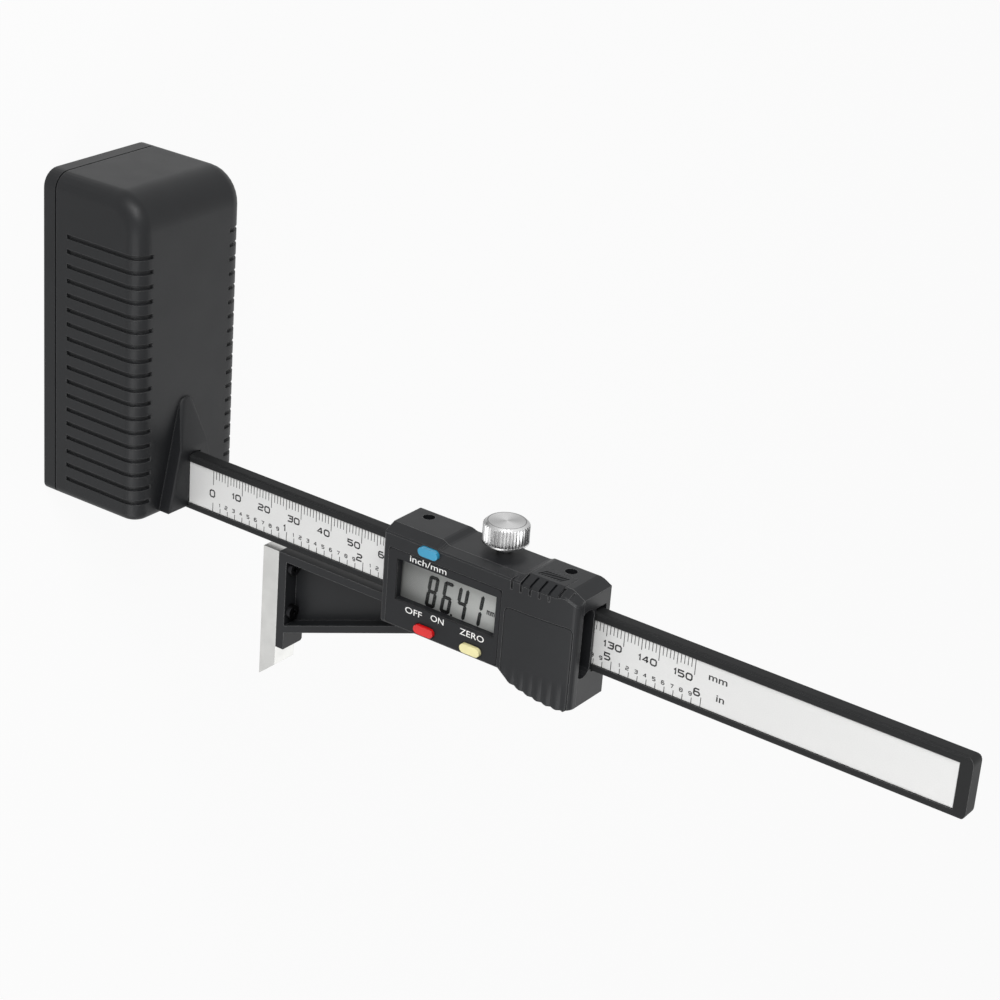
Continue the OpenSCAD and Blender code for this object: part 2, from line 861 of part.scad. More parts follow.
module lock_screw() {
    under = -scoop_x - knob_gap;
    face = under - collar_t - knob_h;
    color([0.82, 0.82, 0.83])
        at_slider()
            translate([0, 0, lock_z])
                difference() {
                    union() {
                        bar_x(lock_d, under - 0.5, channel_top - pad_t);
                        bar_x(collar_d, under - collar_t, under);
                        bar_x(knob_d, face + knob_chamfer, under - collar_t);
                        translate([face, 0, 0])
                            rotate([0, 90, 0])
                                cylinder(d1 = knob_top_d, d2 = knob_d, h = knob_chamfer);
                    }
                    for (i = [0:flute_n - 1])
                        rotate([i*360/flute_n, 0, 0])
                            translate([face + knob_chamfer*0.4, 0, knob_d/2])
                                rotate([45, 0, 0])
                                    translate([0, -flute_depth, -flute_depth])
                                        cube([knob_h - knob_chamfer, 2*flute_depth, 2*flute_depth]);
                }
}

// Front cover

// Round-ended outline of a button in X and Z, moved out by grow
module button_outline(grow) {
    r = button_w/2 + grow;
    polygon(concat(
        arc(0, button_len/2 + grow - r, r, 0, 180, 8),
        arc(0, -button_len/2 - grow + r, r, 180, 360, 8)));
}

module button_hole(at) {
    translate([at[0], 0, at[1]])
        along_y(-front_y - past, -split_y + past)
            button_outline(button_wall);
}

// Room behind the front wall for a button's flange
module button_room(at, from_x, to_x) {
    block([from_x, front_inner, at[1] - button_len/2 - flange_grow - slack],
        [to_x, -split_y + past, at[1] + button_len/2 + flange_grow + slack]);
}

// Space that the battery door fills, moved out by gap
module door_space(gap) {
    r = door_corner_r;
    along_y(-front_y - past, door_back + gap)
        polygon(concat(
            [[ledge_x + door_clear, door_start - gap], [ledge_x + door_clear, door_end + gap]],
            arc(door_top + r, door_end - r, r + gap, 90, 180, 4),
            arc(door_top + r, door_start + r, r + gap, 180, 270, 4)));
    block([door_lip - gap, -front_y - past, door_start - gap],
        [ledge_x + door_clear, -split_y + (gap > 0 ? past : 0), door_end + gap]);
}

// Space that the data port cover fills in the frame, moved out by gap
module port_space(gap) {
    block([-ledge_x - past, -split_y - (gap > 0 ? past : 0), port_start - gap],
        [-ledge_x + port_t + gap, -port_back + gap, port_end + gap]);
}

// Space that the data port cover fills in the front cover, moved out by gap
module port_wedge_space(gap) {
    block([-ledge_x - past, -front_y - past, port_start - gap],
        [port_front_x + gap, -split_y + (gap > 0 ? past : 0), port_end + gap]);
}

// Finger notches along the top edge of the cover
module top_notches() {
    deep = -front_y + notch_depth;
    for (i = [0:notch_n - 1])
        translate([0, 0, notch_start + i*ridge_pitch - notch_w/2])
            linear_extrude(notch_w)
                polygon([[notch_low, -front_y - past], [notch_low - 0.8, deep], [-front_top_x + 0.6, deep],
                    [-ledge_x + 0.8, -split_y - 0.4], [-ledge_x - past, -split_y - 0.4],
                    [-ledge_x - past, -front_y - past]]);
}

module slider_cover() {
    color([0.17, 0.17, 0.18])
        at_slider()
            difference() {
                cover_form();
                // Room for the display, the board and the battery, with a seat round the opening
                difference() {
                    block([room_top, front_inner, board_start],
                        [board_low + fit, -split_y + past, board_end]);
                    block([view_top - 1.4, front_inner - past, view_start - 1.4],
                        [view_low + 1.4, window_front, view_end + 1.4]);
                }
                block([view_top, -front_y - past, view_start], [view_low, 0, view_end]);
                block([fascia_top - slack, -front_y - past, fascia_start - slack],
                    [fascia_low + slack, -front_y + fascia_t - fascia_proud + fit, fascia_end + slack]);
                for (at = [unit_at, power_at, zero_at])
                    button_hole(at);
                button_room(unit_at, unit_at[0] - button_w/2 - button_wall,
                    unit_at[0] + button_w/2 + flange_grow + slack);
                button_room(power_at, power_at[0] - button_w/2 - flange_grow - slack,
                    power_at[0] + button_w/2 + button_wall);
                button_room(zero_at, zero_at[0] - button_w/2 - flange_grow - slack,
                    zero_at[0] + button_w/2 + button_wall);
                cover_screw_places()
                    bar_y(cover_screw_d + 2*fit, cover_screw_tip - 0.1, 0);
                door_space(door_gap);
                port_wedge_space(slack);
                top_notches();
            }
}

module fascia() {
    color([0.12, 0.12, 0.13])
        at_slider()
            difference() {
                along_y(-front_y - fascia_proud, -front_y - fascia_proud + fascia_t)
                    polygon(round_rect(fascia_top, fascia_start, fascia_low, fascia_end, fascia_r));
                block([view_top, -front_y - past, view_start], [view_low, 0, view_end]);
                for (at = [power_at, zero_at])
                    button_hole(at);
            }
}

// A plate behind the display opening, with its front face at y0
module display_plate(y0, t) {
    block([view_top - view_lip, y0, view_start - view_lip],
        [view_low + view_lip, y0 + t, view_end + view_lip]);
}

module lcd_window() {
    color([0.75, 0.78, 0.78])
        at_slider()
            display_plate(window_front, window_t);
}

module lcd_panel() {
    color([0.62, 0.65, 0.62])
        at_slider()
            display_plate(lcd_front, lcd_t);
}

module zebra_strips() {
    color([0.85, 0.55, 0.6])
        at_slider()
            for (x = [view_top - view_lip + 0.2, view_low + view_lip - 0.2 - zebra_w])
                block([x, lcd_back, view_start + 0.6], [x + zebra_w, board_front, view_end - 0.6]);
}

module circuit_board() {
    color([0.1, 0.35, 0.2])
        at_slider()
            block([board_top, board_front, board_start], [board_low, board_back, board_end]);
}

module button_domes() {
    color([0.8, 0.8, 0.8])
        at_slider()
            for (p = [[unit_peg_x, unit_at[1]], [low_peg_x, power_at[1]], [low_peg_x, zero_at[1]]])
                translate([p[0], 0, p[1]])
                    bar_y(dome_d, board_front - dome_h, board_front);
}

// A button: its cap, the flange that keeps it in and the peg that reaches the dome
module button(at, flange_from, flange_to, peg_x) {
    back = front_inner + fit + flange_thick;
    at_slider() {
        translate([at[0], 0, at[1]])
            along_y(-front_y - button_proud, front_inner + fit + flange_thick/2)
                button_outline(0);
        block([flange_from, front_inner + fit, at[1] - button_len/2 - flange_grow],
            [flange_to, back, at[1] + button_len/2 + flange_grow]);
        translate([peg_x, 0, at[1]])
            bar_y(peg_d, back - flange_thick/2, board_front - dome_h - button_travel - slack);
    }
}

module button_unit() {
    color([0.2, 0.55, 0.85])
        button(unit_at, unit_at[0] - button_w/2, unit_at[0] + button_w/2 + flange_grow, unit_peg_x);
}

module button_power() {
    color([0.85, 0.12, 0.12])
        button(power_at, power_at[0] - button_w/2 - flange_grow, power_at[0] + button_w/2, low_peg_x);
}

module button_zero() {
    color([0.95, 0.88, 0.55])
        button(zero_at, zero_at[0] - button_w/2 - flange_grow, zero_at[0] + button_w/2, low_peg_x);
}

module battery() {
    color([0.75, 0.76, 0.78])
        at_slider()
            translate([cell_at[0], 0, cell_at[1]]) {
                bar_y(cell_d, cell_front, cell_back - 0.6);
                bar_y(cell_d - 2, cell_back - 0.7, cell_back);
            }
}

module contact_plus() {
    x = cell_at[0] - cell_d/2 - slack - 0.25;
    color([0.8, 0.72, 0.45])
        at_slider() {
            block([x, cell_front + 0.4, cell_at[1] - 2.5], [x + 0.25, board_front, cell_at[1] + 2.5]);
            block([x - 2, board_front - 0.25, cell_at[1] - 2.5], [x + 0.1, board_front, cell_at[1] + 2.5]);
        }
}

module contact_minus() {
    color([0.8, 0.72, 0.45])
        at_slider() {
            block([cell_at[0] - minus_half_len, board_front - 0.2, cell_at[1] - 1.5],
                [cell_at[0] + minus_half_len, board_front, cell_at[1] + 1.5]);
            translate([cell_at[0], 0, cell_at[1]])
                bar_y(2.4, cell_back + fit, board_front - 0.1);
        }
}

module battery_door() {
    color([0.16, 0.16, 0.17])
        at_slider() {
            difference() {
                intersection() {
                    cover_form();
                    door_space(0);
                }
                top_notches();
            }
            block([door_top - door_tongue_reach, front_inner + fit, cell_at[1] - door_tongue_len/2],
                [door_top + 1, front_inner + fit + door_tongue_t, cell_at[1] + door_tongue_len/2]);
        }
}

module port_cover() {
    color([0.16, 0.16, 0.17])
        at_slider()
            difference() {
                union() {
                    intersection() {
                        along_y(-split_y, 0)
                            polygon(slider_side());
                        port_space(0);
                    }
                    intersection() {
                        cover_form();
                        port_wedge_space(0);
                    }
                }
                top_notches();
                for (i = [0:port_mark_n - 1])
                    translate([-ledge_x, (-split_y - port_back)/2, port_start + port_mark_first
                        + i*port_mark_pitch])
                        rotate([25, 0, 0])
                            block([-past, -port_mark_half_len, -port_mark_half_w],
                                [port_mark_depth, port_mark_half_len, port_mark_half_w]);
            }
}

module cover_screws() {
    color([0.5, 0.51, 0.53])
        at_slider()
            cover_screw_places()
                translate([0, back_y - 0.2, 0])
                    rotate([90, 0, 0])
                        screw(cover_screw_d, back_y - 0.2 - cover_screw_tip, cover_screw_head_d,
                            cover_screw_head_h);
}

module blade() {
    color([0.8, 0.8, 0.79])
        at_slider()
            difference() {
                along_y(arm_front_y, arm_back_y)
                    polygon([[arm_start_x, -arm_drop - blade_t], [blade_reach, -arm_drop - blade_t],
                        [blade_reach - blade_cut, -arm_drop], [arm_start_x, -arm_drop]]);
                for (x = blade_screw_x)
                    translate([x, blade_screw_y, -arm_drop - blade_screw_depth])
                        cylinder(d = blade_screw_d + 2*fit, h = blade_screw_depth + past);
            }
}

module blade_screws() {
    color([0.4, 0.41, 0.43])
        at_slider()
            for (x = blade_screw_x)
                translate([x, blade_screw_y, -arm_drop + flange_t + blade_screw_head_h])
                    rotate([180, 0, 0])
                        screw(blade_screw_d, flange_t + blade_screw_head_h + blade_screw_depth - 0.2,
                            blade_screw_head_d, blade_screw_head_h);
}

base_housing();
base_plate();
base_magnets();
base_screws();
beam();
beam_screws();
stator_strip();
scale_label();
slider_frame();
gib_strip();
gib_screws();
lock_pad();
lock_screw();
slider_cover();
fascia();
lcd_window();
lcd_panel();
zebra_strips();
circuit_board();
button_domes();
button_unit();
button_power();
button_zero();
battery();
contact_plus();
contact_minus();
battery_door();
port_cover();
cover_screws();
blade();
blade_screws();
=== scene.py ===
"""Finishes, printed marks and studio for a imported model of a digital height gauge."""

import math

import bmesh
import bpy
from mathutils import Matrix, Vector


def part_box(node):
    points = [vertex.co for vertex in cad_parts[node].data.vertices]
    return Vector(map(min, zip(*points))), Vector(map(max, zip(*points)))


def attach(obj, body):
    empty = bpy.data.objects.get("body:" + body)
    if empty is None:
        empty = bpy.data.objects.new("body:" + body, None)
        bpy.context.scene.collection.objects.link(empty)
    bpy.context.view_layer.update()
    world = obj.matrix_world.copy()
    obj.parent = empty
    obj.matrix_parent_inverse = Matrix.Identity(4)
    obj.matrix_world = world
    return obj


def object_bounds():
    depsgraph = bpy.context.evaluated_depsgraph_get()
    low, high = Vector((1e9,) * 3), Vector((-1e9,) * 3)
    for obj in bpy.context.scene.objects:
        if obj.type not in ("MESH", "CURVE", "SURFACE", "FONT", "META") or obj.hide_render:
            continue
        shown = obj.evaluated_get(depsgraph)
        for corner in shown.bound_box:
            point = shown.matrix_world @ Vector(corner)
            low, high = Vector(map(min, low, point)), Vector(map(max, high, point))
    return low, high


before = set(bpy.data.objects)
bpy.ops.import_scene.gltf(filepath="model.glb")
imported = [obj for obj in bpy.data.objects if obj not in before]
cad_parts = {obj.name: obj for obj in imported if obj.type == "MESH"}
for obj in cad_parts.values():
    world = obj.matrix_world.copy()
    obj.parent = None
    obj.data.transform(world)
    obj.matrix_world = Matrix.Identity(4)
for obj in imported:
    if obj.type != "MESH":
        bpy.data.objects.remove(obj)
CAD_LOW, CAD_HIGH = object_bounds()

bl_info = {
    "name": "Height gauge finishes",
    "version": (1, 0, 0),
    "blender": (4, 5, 0),
    "location": "View3D > Sidebar > Gauge",
    "description": "Finishes, printed marks and studio for a digital height gauge",
    "category": "Object",
}

MM = 0.001
INCH = 25.4

# Places taken from the frame, in metres
BEAM_LOW, BEAM_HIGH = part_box("beam")
LABEL_LOW, LABEL_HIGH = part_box("scale_label")
PANEL_LOW, PANEL_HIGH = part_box("lcd_panel")
KNOB_LOW, KNOB_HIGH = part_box("lock_screw")
BEAM_X = (BEAM_LOW.x + BEAM_HIGH.x) / 2
SLIDER_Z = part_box("slider_cover")[0].z
# The blade's underside reads zero at the foot, so the slider's lower end then marks zero
ZERO_Z = SLIDER_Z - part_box("blade")[0].z
LABEL_FRONT = LABEL_LOW.y
LEGEND_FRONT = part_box("fascia")[0].y
LCD_FRONT = PANEL_LOW.y

# The ridges that run up from the thumb grip, in millimetres: the first one's place on the slider,
# their pitch, and where they begin and reach full height across the beam
RIDGE_START = 38.9
RIDGE_PITCH = 2.65
RIDGE_FADE = (9, 14)

# Baselines of the scales' print, in millimetres above the beam's centre line as it reads
ZERO_BASELINE = -1.93
METRIC_BASELINE = -0.25
METRIC_WORD_BASELINE = 1.95
TENTH_BASELINE = -4.05
INCH_BASELINE = -3.5
INCH_WORD_BASELINE = -2.9
# How much taller the zero and the whole inches are than the other large digits
ZERO_GROWTH = 1.14
INCH_GROWTH = 1.08
# How far before its mark a number ends, in millimetres. The zero ends past its mark
METRIC_GAP = 0.4
INCH_GAP = 0.3
ZERO_OVERRUN = 0.7
# The two words after the scales, in millimetres: start past the last metric mark, and width
METRIC_WORD = (3.87, 5.1)
INCH_WORD = (6.45, 2.2)

# The display's reading, in millimetres from the slider's lower end and the beam's centre line
READING_START = 11.3
READING_FOOT = -4.3
READING_PITCH = 4.6
READING_WIDTH = 3.1
READING_HEIGHT = 9.0
READING_STROKE = 1.02
READING_SLANT = 1.15
READING_POINT = 0.6
READING_POINT_BACK = 1.2
READING_UNIT_START = 30.1
READING_UNIT_BASELINE = 0.1
READING_UNIT_WIDTH = 2.4
READING_UNIT_HEIGHT = 1.7

# The words beside the buttons, in millimetres: where each starts and ends along the slider, and how
# far its baseline lies below the slider's centre line
LEGENDS = (
    ("inch/mm", 8.3, 19.5, -8.07),
    ("OFF", 7.8, 13.0, 6.2),
    ("ON", 15.7, 19.7, 5.7),
    ("ZERO", 24.7, 32.0, 6.1),
)

# The camera's place and its sensor's width in millimetres, and its direction. They fit the scale's
# marks in the photo
CAMERA_PLACE = (-256.5, -477.5, 458.7)
CAMERA_DIRECTION = (0.419, 0.7523, -0.5084)
SENSOR_WIDTH = 36

# The floor's half width in metres, and its depth below the foot face in millimetres
FLOOR_REACH = 4.0
FLOOR_DROP = 0.05
# The share of plain white in the floor as it is seen. The rest of it shows the shadow
FLOOR_WHITE = 0.93


def linear(hex_colour):
    """An sRGB hex colour as linear red, green and blue."""
    values = [int(hex_colour[i : i + 2], 16) / 255 for i in (1, 3, 5)]
    return tuple(v / 12.92 if v <= 0.04045 else ((v + 0.055) / 1.055) ** 2.4 for v in values)


def rgba(colour):
    return (*colour, 1)


# Properties


def colour_value(name, text, hex_colour):
    return bpy.props.FloatVectorProperty(
        name=name, description=text, subtype="COLOR", size=3, min=0, max=1, default=linear(hex_colour)
    )


def length_value(name, text, millimetres):
    return bpy.props.FloatProperty(
        name=name, description=text, unit="LENGTH", min=0, precision=5, default=millimetres * MM
    )


def power_value(name, text, watts):
    return bpy.props.FloatProperty(name=name, description=text, unit="POWER", min=0, default=watts)


class GaugeColours(bpy.types.PropertyGroup):
    housing: colour_value("Housing", "Black ABS of the grip base", "#17181a")
    slider: colour_value("Slider", "Black ABS of the slider's shells", "#1c1d1f")
    beam: colour_value("Beam", "Carbon-filled nylon of the beam", "#101112")
    label: colour_value("Label", "Silvery film of the scale", "#dcdcdb")
    print_dark: colour_value("Dark print", "Ink of the scale's marks", "#141416")
    print_light: colour_value("Light print", "Ink of the legends by the buttons", "#f2f2f0")
    lcd: colour_value("Display", "Reflector behind the liquid crystal", "#d2d4d1")
    segment: colour_value("Segments", "Switched-on liquid crystal", "#0c0d0d")
    unit_button: colour_value("Unit button", "Blue cap", "#3696bd")
    power_button: colour_value("Power button", "Red cap", "#d81a1c")
    zero_button: colour_value("Zero button", "Cream cap", "#eee6ae")
    steel: colour_value("Steel", "Plated steel of the lock screw", "#cdcdcd")


class GaugePrint(bpy.types.PropertyGroup):
    ink: length_value("Ink", "Thickness of the printed ink", 0.02)
    tick: length_value("Tick width", "Width of a scale mark", 0.19)
    tick_one: length_value("Short tick", "Length of a one millimetre mark", 2.4)
    tick_five: length_value("Middle tick", "Length of a five millimetre mark", 3.15)
    tick_ten: length_value("Long tick", "Length of a ten millimetre mark", 4.2)
    tick_tenth: length_value("Tenth tick", "Length of a tenth of an inch mark", 1.5)
    tick_inch: length_value("Inch tick", "Length of a whole inch mark", 2.5)
    digit: length_value("Digit", "Height of a large digit", 1.95)
    digit_width: length_value("Digit width", "Width of a large digit", 1.95)
    digit_stroke: length_value("Digit stroke", "Stroke of a large digit", 0.4)
    small_digit: length_value("Small digit", "Height of a tenth's digit", 1.12)
    small_digit_width: length_value("Small digit width", "Width of a tenth's digit", 1.0)
    small_digit_stroke: length_value("Small digit stroke", "Stroke of a tenth's digit", 0.22)
    word_bold: length_value("Word weight", "How far the outlines of mm and in are thickened", 0.03)
    segment_bold: length_value("Unit weight", "How far the display's mm is thickened", 0.08)
    legend: length_value("Legend", "Height of the capitals by the buttons", 1.75)
    millimetres: bpy.props.IntProperty(
        name="Millimetres", description="Length of the metric scale", min=10, max=200, default=150
    )
    inches: bpy.props.IntProperty(
        name="Inches", description="Length of the inch scale", min=1, max=8, default=6
    )


class GaugeStudio(bpy.types.PropertyGroup):
    lens: bpy.props.FloatProperty(
        name="Lens", description="Focal length in millimetres", min=10, default=94.19
    )
    roll: bpy.props.FloatProperty(
        name="Roll",
        description="Turn of the camera about its view",
        subtype="ANGLE",
        default=math.radians(110.36),
    )
    key: power_value("Key", "Power of the key lamp", 14)
    fill: power_value("Fill", "Power of the fill lamp", 7)
    rear: power_value("Rear", "Power of the rear lamp", 1)
    world: bpy.props.FloatProperty(
        name="World", description="Strength of the surround's light", min=0, default=0.2
    )


# Materials


def add_node(tree, kind, inputs=None, **settings):
    """Adds a node, makes its settings, and fills or links its inputs."""
    node = tree.nodes.new(kind)
    for name, value in settings.items():
        setattr(node, name, value)
    for name, value in (inputs or {}).items():
        if isinstance(value, bpy.types.NodeSocket):
            tree.links.new(value, node.inputs[name])
        else:
            node.inputs[name].default_value = value
    return node


def per_metre(millimetres):
    """The texture scale whose features are that many millimetres apart."""
    return 1 / (millimetres * MM)


def new_material(name, **shader_inputs):
    """A material with one Principled shader, its tree and its object coordinates."""
    material = bpy.data.materials.new(name)
    material.use_nodes = True
    tree = material.node_tree
    tree.nodes.clear()
    shader = add_node(tree, "ShaderNodeBsdfPrincipled", shader_inputs)
    add_node(tree, "ShaderNodeOutputMaterial", {"Surface": shader.outputs[0]})
    place = add_node(tree, "ShaderNodeTexCoord").outputs["Object"]
    return material, tree, shader, place


def mottled(tree, place, colour, spot_mm, amount):
    """The colour with soft patches a little darker and lighter than it."""
    noise = add_node(
        tree, "ShaderNodeTexNoise", {"Vector": place, "Scale": per_metre(spot_mm), "Detail": 2.0}
    )
    ramp = add_node(tree, "ShaderNodeValToRGB", {"Fac": noise.outputs["Fac"]})
    ramp.color_ramp.elements[0].position = 0.3
    ramp.color_ramp.elements[1].position = 0.7
    ramp.color_ramp.elements[0].color = rgba(c * (1 - amount) for c in colour)
    ramp.color_ramp.elements[1].color = rgba(min(c * (1 + amount), 1) for c in colour)
    return ramp.outputs["Color"]


def ranged(tree, place, spot_mm, low, high):
    """A number that wanders between low and high over the surface."""
    noise = add_node(
        tree, "ShaderNodeTexNoise", {"Vector": place, "Scale": per_metre(spot_mm), "Detail": 3.0}
    )
    spread = add_node(
        tree, "ShaderNodeMapRange", {"Value": noise.outputs["Fac"], "To Min": low, "To Max": high}
    )
    return spread.outputs["Result"]


def openness(tree, reach_mm):
    """Painted shade: one on open faces, falling to a quarter in grooves and seams, from ambient occlusion."""
    hollow = add_node(tree, "ShaderNodeAmbientOcclusion", {"Distance": reach_mm * MM}, samples=6)
    spread = add_node(
        tree,
        "ShaderNodeMapRange",
        {"Value": hollow.outputs["AO"], "From Min": 0.3, "From Max": 0.85, "To Min": 0.25},
    )
    return spread.outputs["Result"]


def rubbed_edges(tree, edge, crevice_shade):
    """Painted highlight: one along sharp outer edges, whose colour turns grey as if they caught the light."""
    faces = add_node(tree, "ShaderNodeNewGeometry")
    turned = add_node(
        tree,
        "ShaderNodeVectorMath",
        {0: edge.outputs["Normal"], 1: faces.outputs["Normal"]},
        operation="DOT_PRODUCT",
    )
    sharp = add_node(
        tree, "ShaderNodeMapRange", {"Value": turned.outputs["Value"], "From Min": 0.97, "From Max": 0.86}
    )
    edge_highlight = add_node(tree, "ShaderNodeMath", {0: sharp.outputs["Result"], 1: crevice_shade}, operation="MULTIPLY")
    return edge_highlight.outputs[0]


def moulded_plastic(
    name, colour, roughness, grain_mm, grain_depth_mm, edge_mm, level=0.5, edge_highlight=0.0, relief=None
):
    """Plastic moulded in an eroded tool: a soft sheen broken by grain and rounded edges, with painted shade
    in its seams.

    The level is the strength of the sheen, the edge highlight is how far painted highlights turn sharp edges
    grey, and relief makes the height of a pattern from the tree and the object's coordinates.
    """
    material, tree, shader, place = new_material(name, IOR=1.54)
    links = tree.links
    # Painted shade: ambient occlusion dims the sheen in seams and grooves
    crevice_shade = openness(tree, 0.7)
    edge = add_node(tree, "ShaderNodeBevel", {"Radius": edge_mm * MM}, samples=4)
    # Painted highlights: sharp outer edges turn grey as if they caught the light
    edges = rubbed_edges(tree, edge, crevice_shade)
    share = add_node(tree, "ShaderNodeMath", {0: edges, 1: edge_highlight}, operation="MULTIPLY")
    unhighlighted = mottled(tree, place, colour, 6, 0.06)
    # The grey that the painted highlights turn sharp edges to
    grey = rgba(linear("#959595"))
    edge_highlighted = add_node(tree, "ShaderNodeMixRGB", {"Fac": share.outputs[0], "Color1": unhighlighted, "Color2": grey})
    links.new(edge_highlighted.outputs[0], shader.inputs["Base Color"])
    lit = add_node(tree, "ShaderNodeMath", {0: crevice_shade, 1: level}, operation="MULTIPLY")
    links.new(lit.outputs[0], shader.inputs["Specular IOR Level"])
    sheen = ranged(tree, place, 9, roughness - 0.04, roughness + 0.05)
    links.new(sheen, shader.inputs["Roughness"])
    normal = edge.outputs["Normal"]
    if relief:
        raised = add_node(
            tree, "ShaderNodeBump", {"Height": relief(tree, place), "Distance": 0.3 * MM, "Normal": normal}
        )
        normal = raised.outputs["Normal"]
    grain = add_node(
        tree,
        "ShaderNodeTexNoise",
        {"Vector": place, "Scale": per_metre(grain_mm), "Detail": 3.0, "Roughness": 0.6},
    )
    bump = add_node(
        tree,
        "ShaderNodeBump",
        {"Height": grain.outputs["Fac"], "Distance": grain_depth_mm * MM, "Normal": normal},
    )
    links.new(bump.outputs["Normal"], shader.inputs["Normal"])
    return material


def thumb_ridges(tree, place):
    """Height of the ridges that run up from the thumb grip and fade out on the battery door."""
    axes = add_node(tree, "ShaderNodeSeparateXYZ", {"Vector": place})
    start = SLIDER_Z + RIDGE_START * MM
    along = add_node(tree, "ShaderNodeMath", {0: axes.outputs["Z"], 1: start}, operation="SUBTRACT")
    half_waves = math.pi * per_metre(RIDGE_PITCH)
    waves = add_node(tree, "ShaderNodeMath", {0: along.outputs[0], 1: half_waves}, operation="MULTIPLY")
    wave = add_node(tree, "ShaderNodeMath", {0: waves.outputs[0]}, operation="SINE")
    ridge = add_node(tree, "ShaderNodeMath", {0: wave.outputs[0]}, operation="ABSOLUTE")
    none, full = (BEAM_X + place_mm * MM for place_mm in RIDGE_FADE)
    fade = add_node(
        tree, "ShaderNodeMapRange", {"Value": axes.outputs["X"], "From Min": none, "From Max": full}
    )
    height = add_node(
        tree, "ShaderNodeMath", {0: ridge.outputs[0], 1: fade.outputs["Result"]}, operation="MULTIPLY"
    )
    return height.outputs[0]


def gloss_abs(name, colour):
    """ABS from a polished tool: a clear highlight on a coloured cap, with slight sink ripples."""
    return moulded_plastic(name, colour, roughness=0.24, grain_mm=1.2, grain_depth_mm=0.01, edge_mm=0.4)


def printed_ink(name, colour):
    """Screen-printed ink: matt, with thin spots where the screen's threads were."""
    material, tree, shader, place = new_material(name, Roughness=0.6)
    tree.links.new(mottled(tree, place, colour, 0.35, 0.1), shader.inputs["Base Color"])
    return material


def ground_steel(name, colour, roughness, grit_mm, along=(1, 1, 1)):
    """Worked metal: fine scratches, drawn out where along is small, that spread its highlights."""
    material, tree, shader, place = new_material(name, Metallic=1.0)
    stretch = add_node(tree, "ShaderNodeMapping", {"Vector": place, "Scale": along})
    scratches = add_node(
        tree, "ShaderNodeTexNoise", {"Vector": stretch.outputs[0], "Scale": per_metre(grit_mm), "Detail": 4.0}
    )
    edge = add_node(tree, "ShaderNodeBevel", {"Radius": 0.12 * MM}, samples=4)
    bump = add_node(
        tree,
        "ShaderNodeBump",
        {"Height": scratches.outputs["Fac"], "Distance": 0.004 * MM, "Normal": edge.outputs["Normal"]},
    )
    tree.links.new(bump.outputs["Normal"], shader.inputs["Normal"])
    tree.links.new(mottled(tree, place, colour, 4, 0.05), shader.inputs["Base Color"])
    sheen = ranged(tree, stretch.outputs[0], grit_mm, roughness - 0.05, roughness + 0.08)
    tree.links.new(sheen, shader.inputs["Roughness"])
    return material


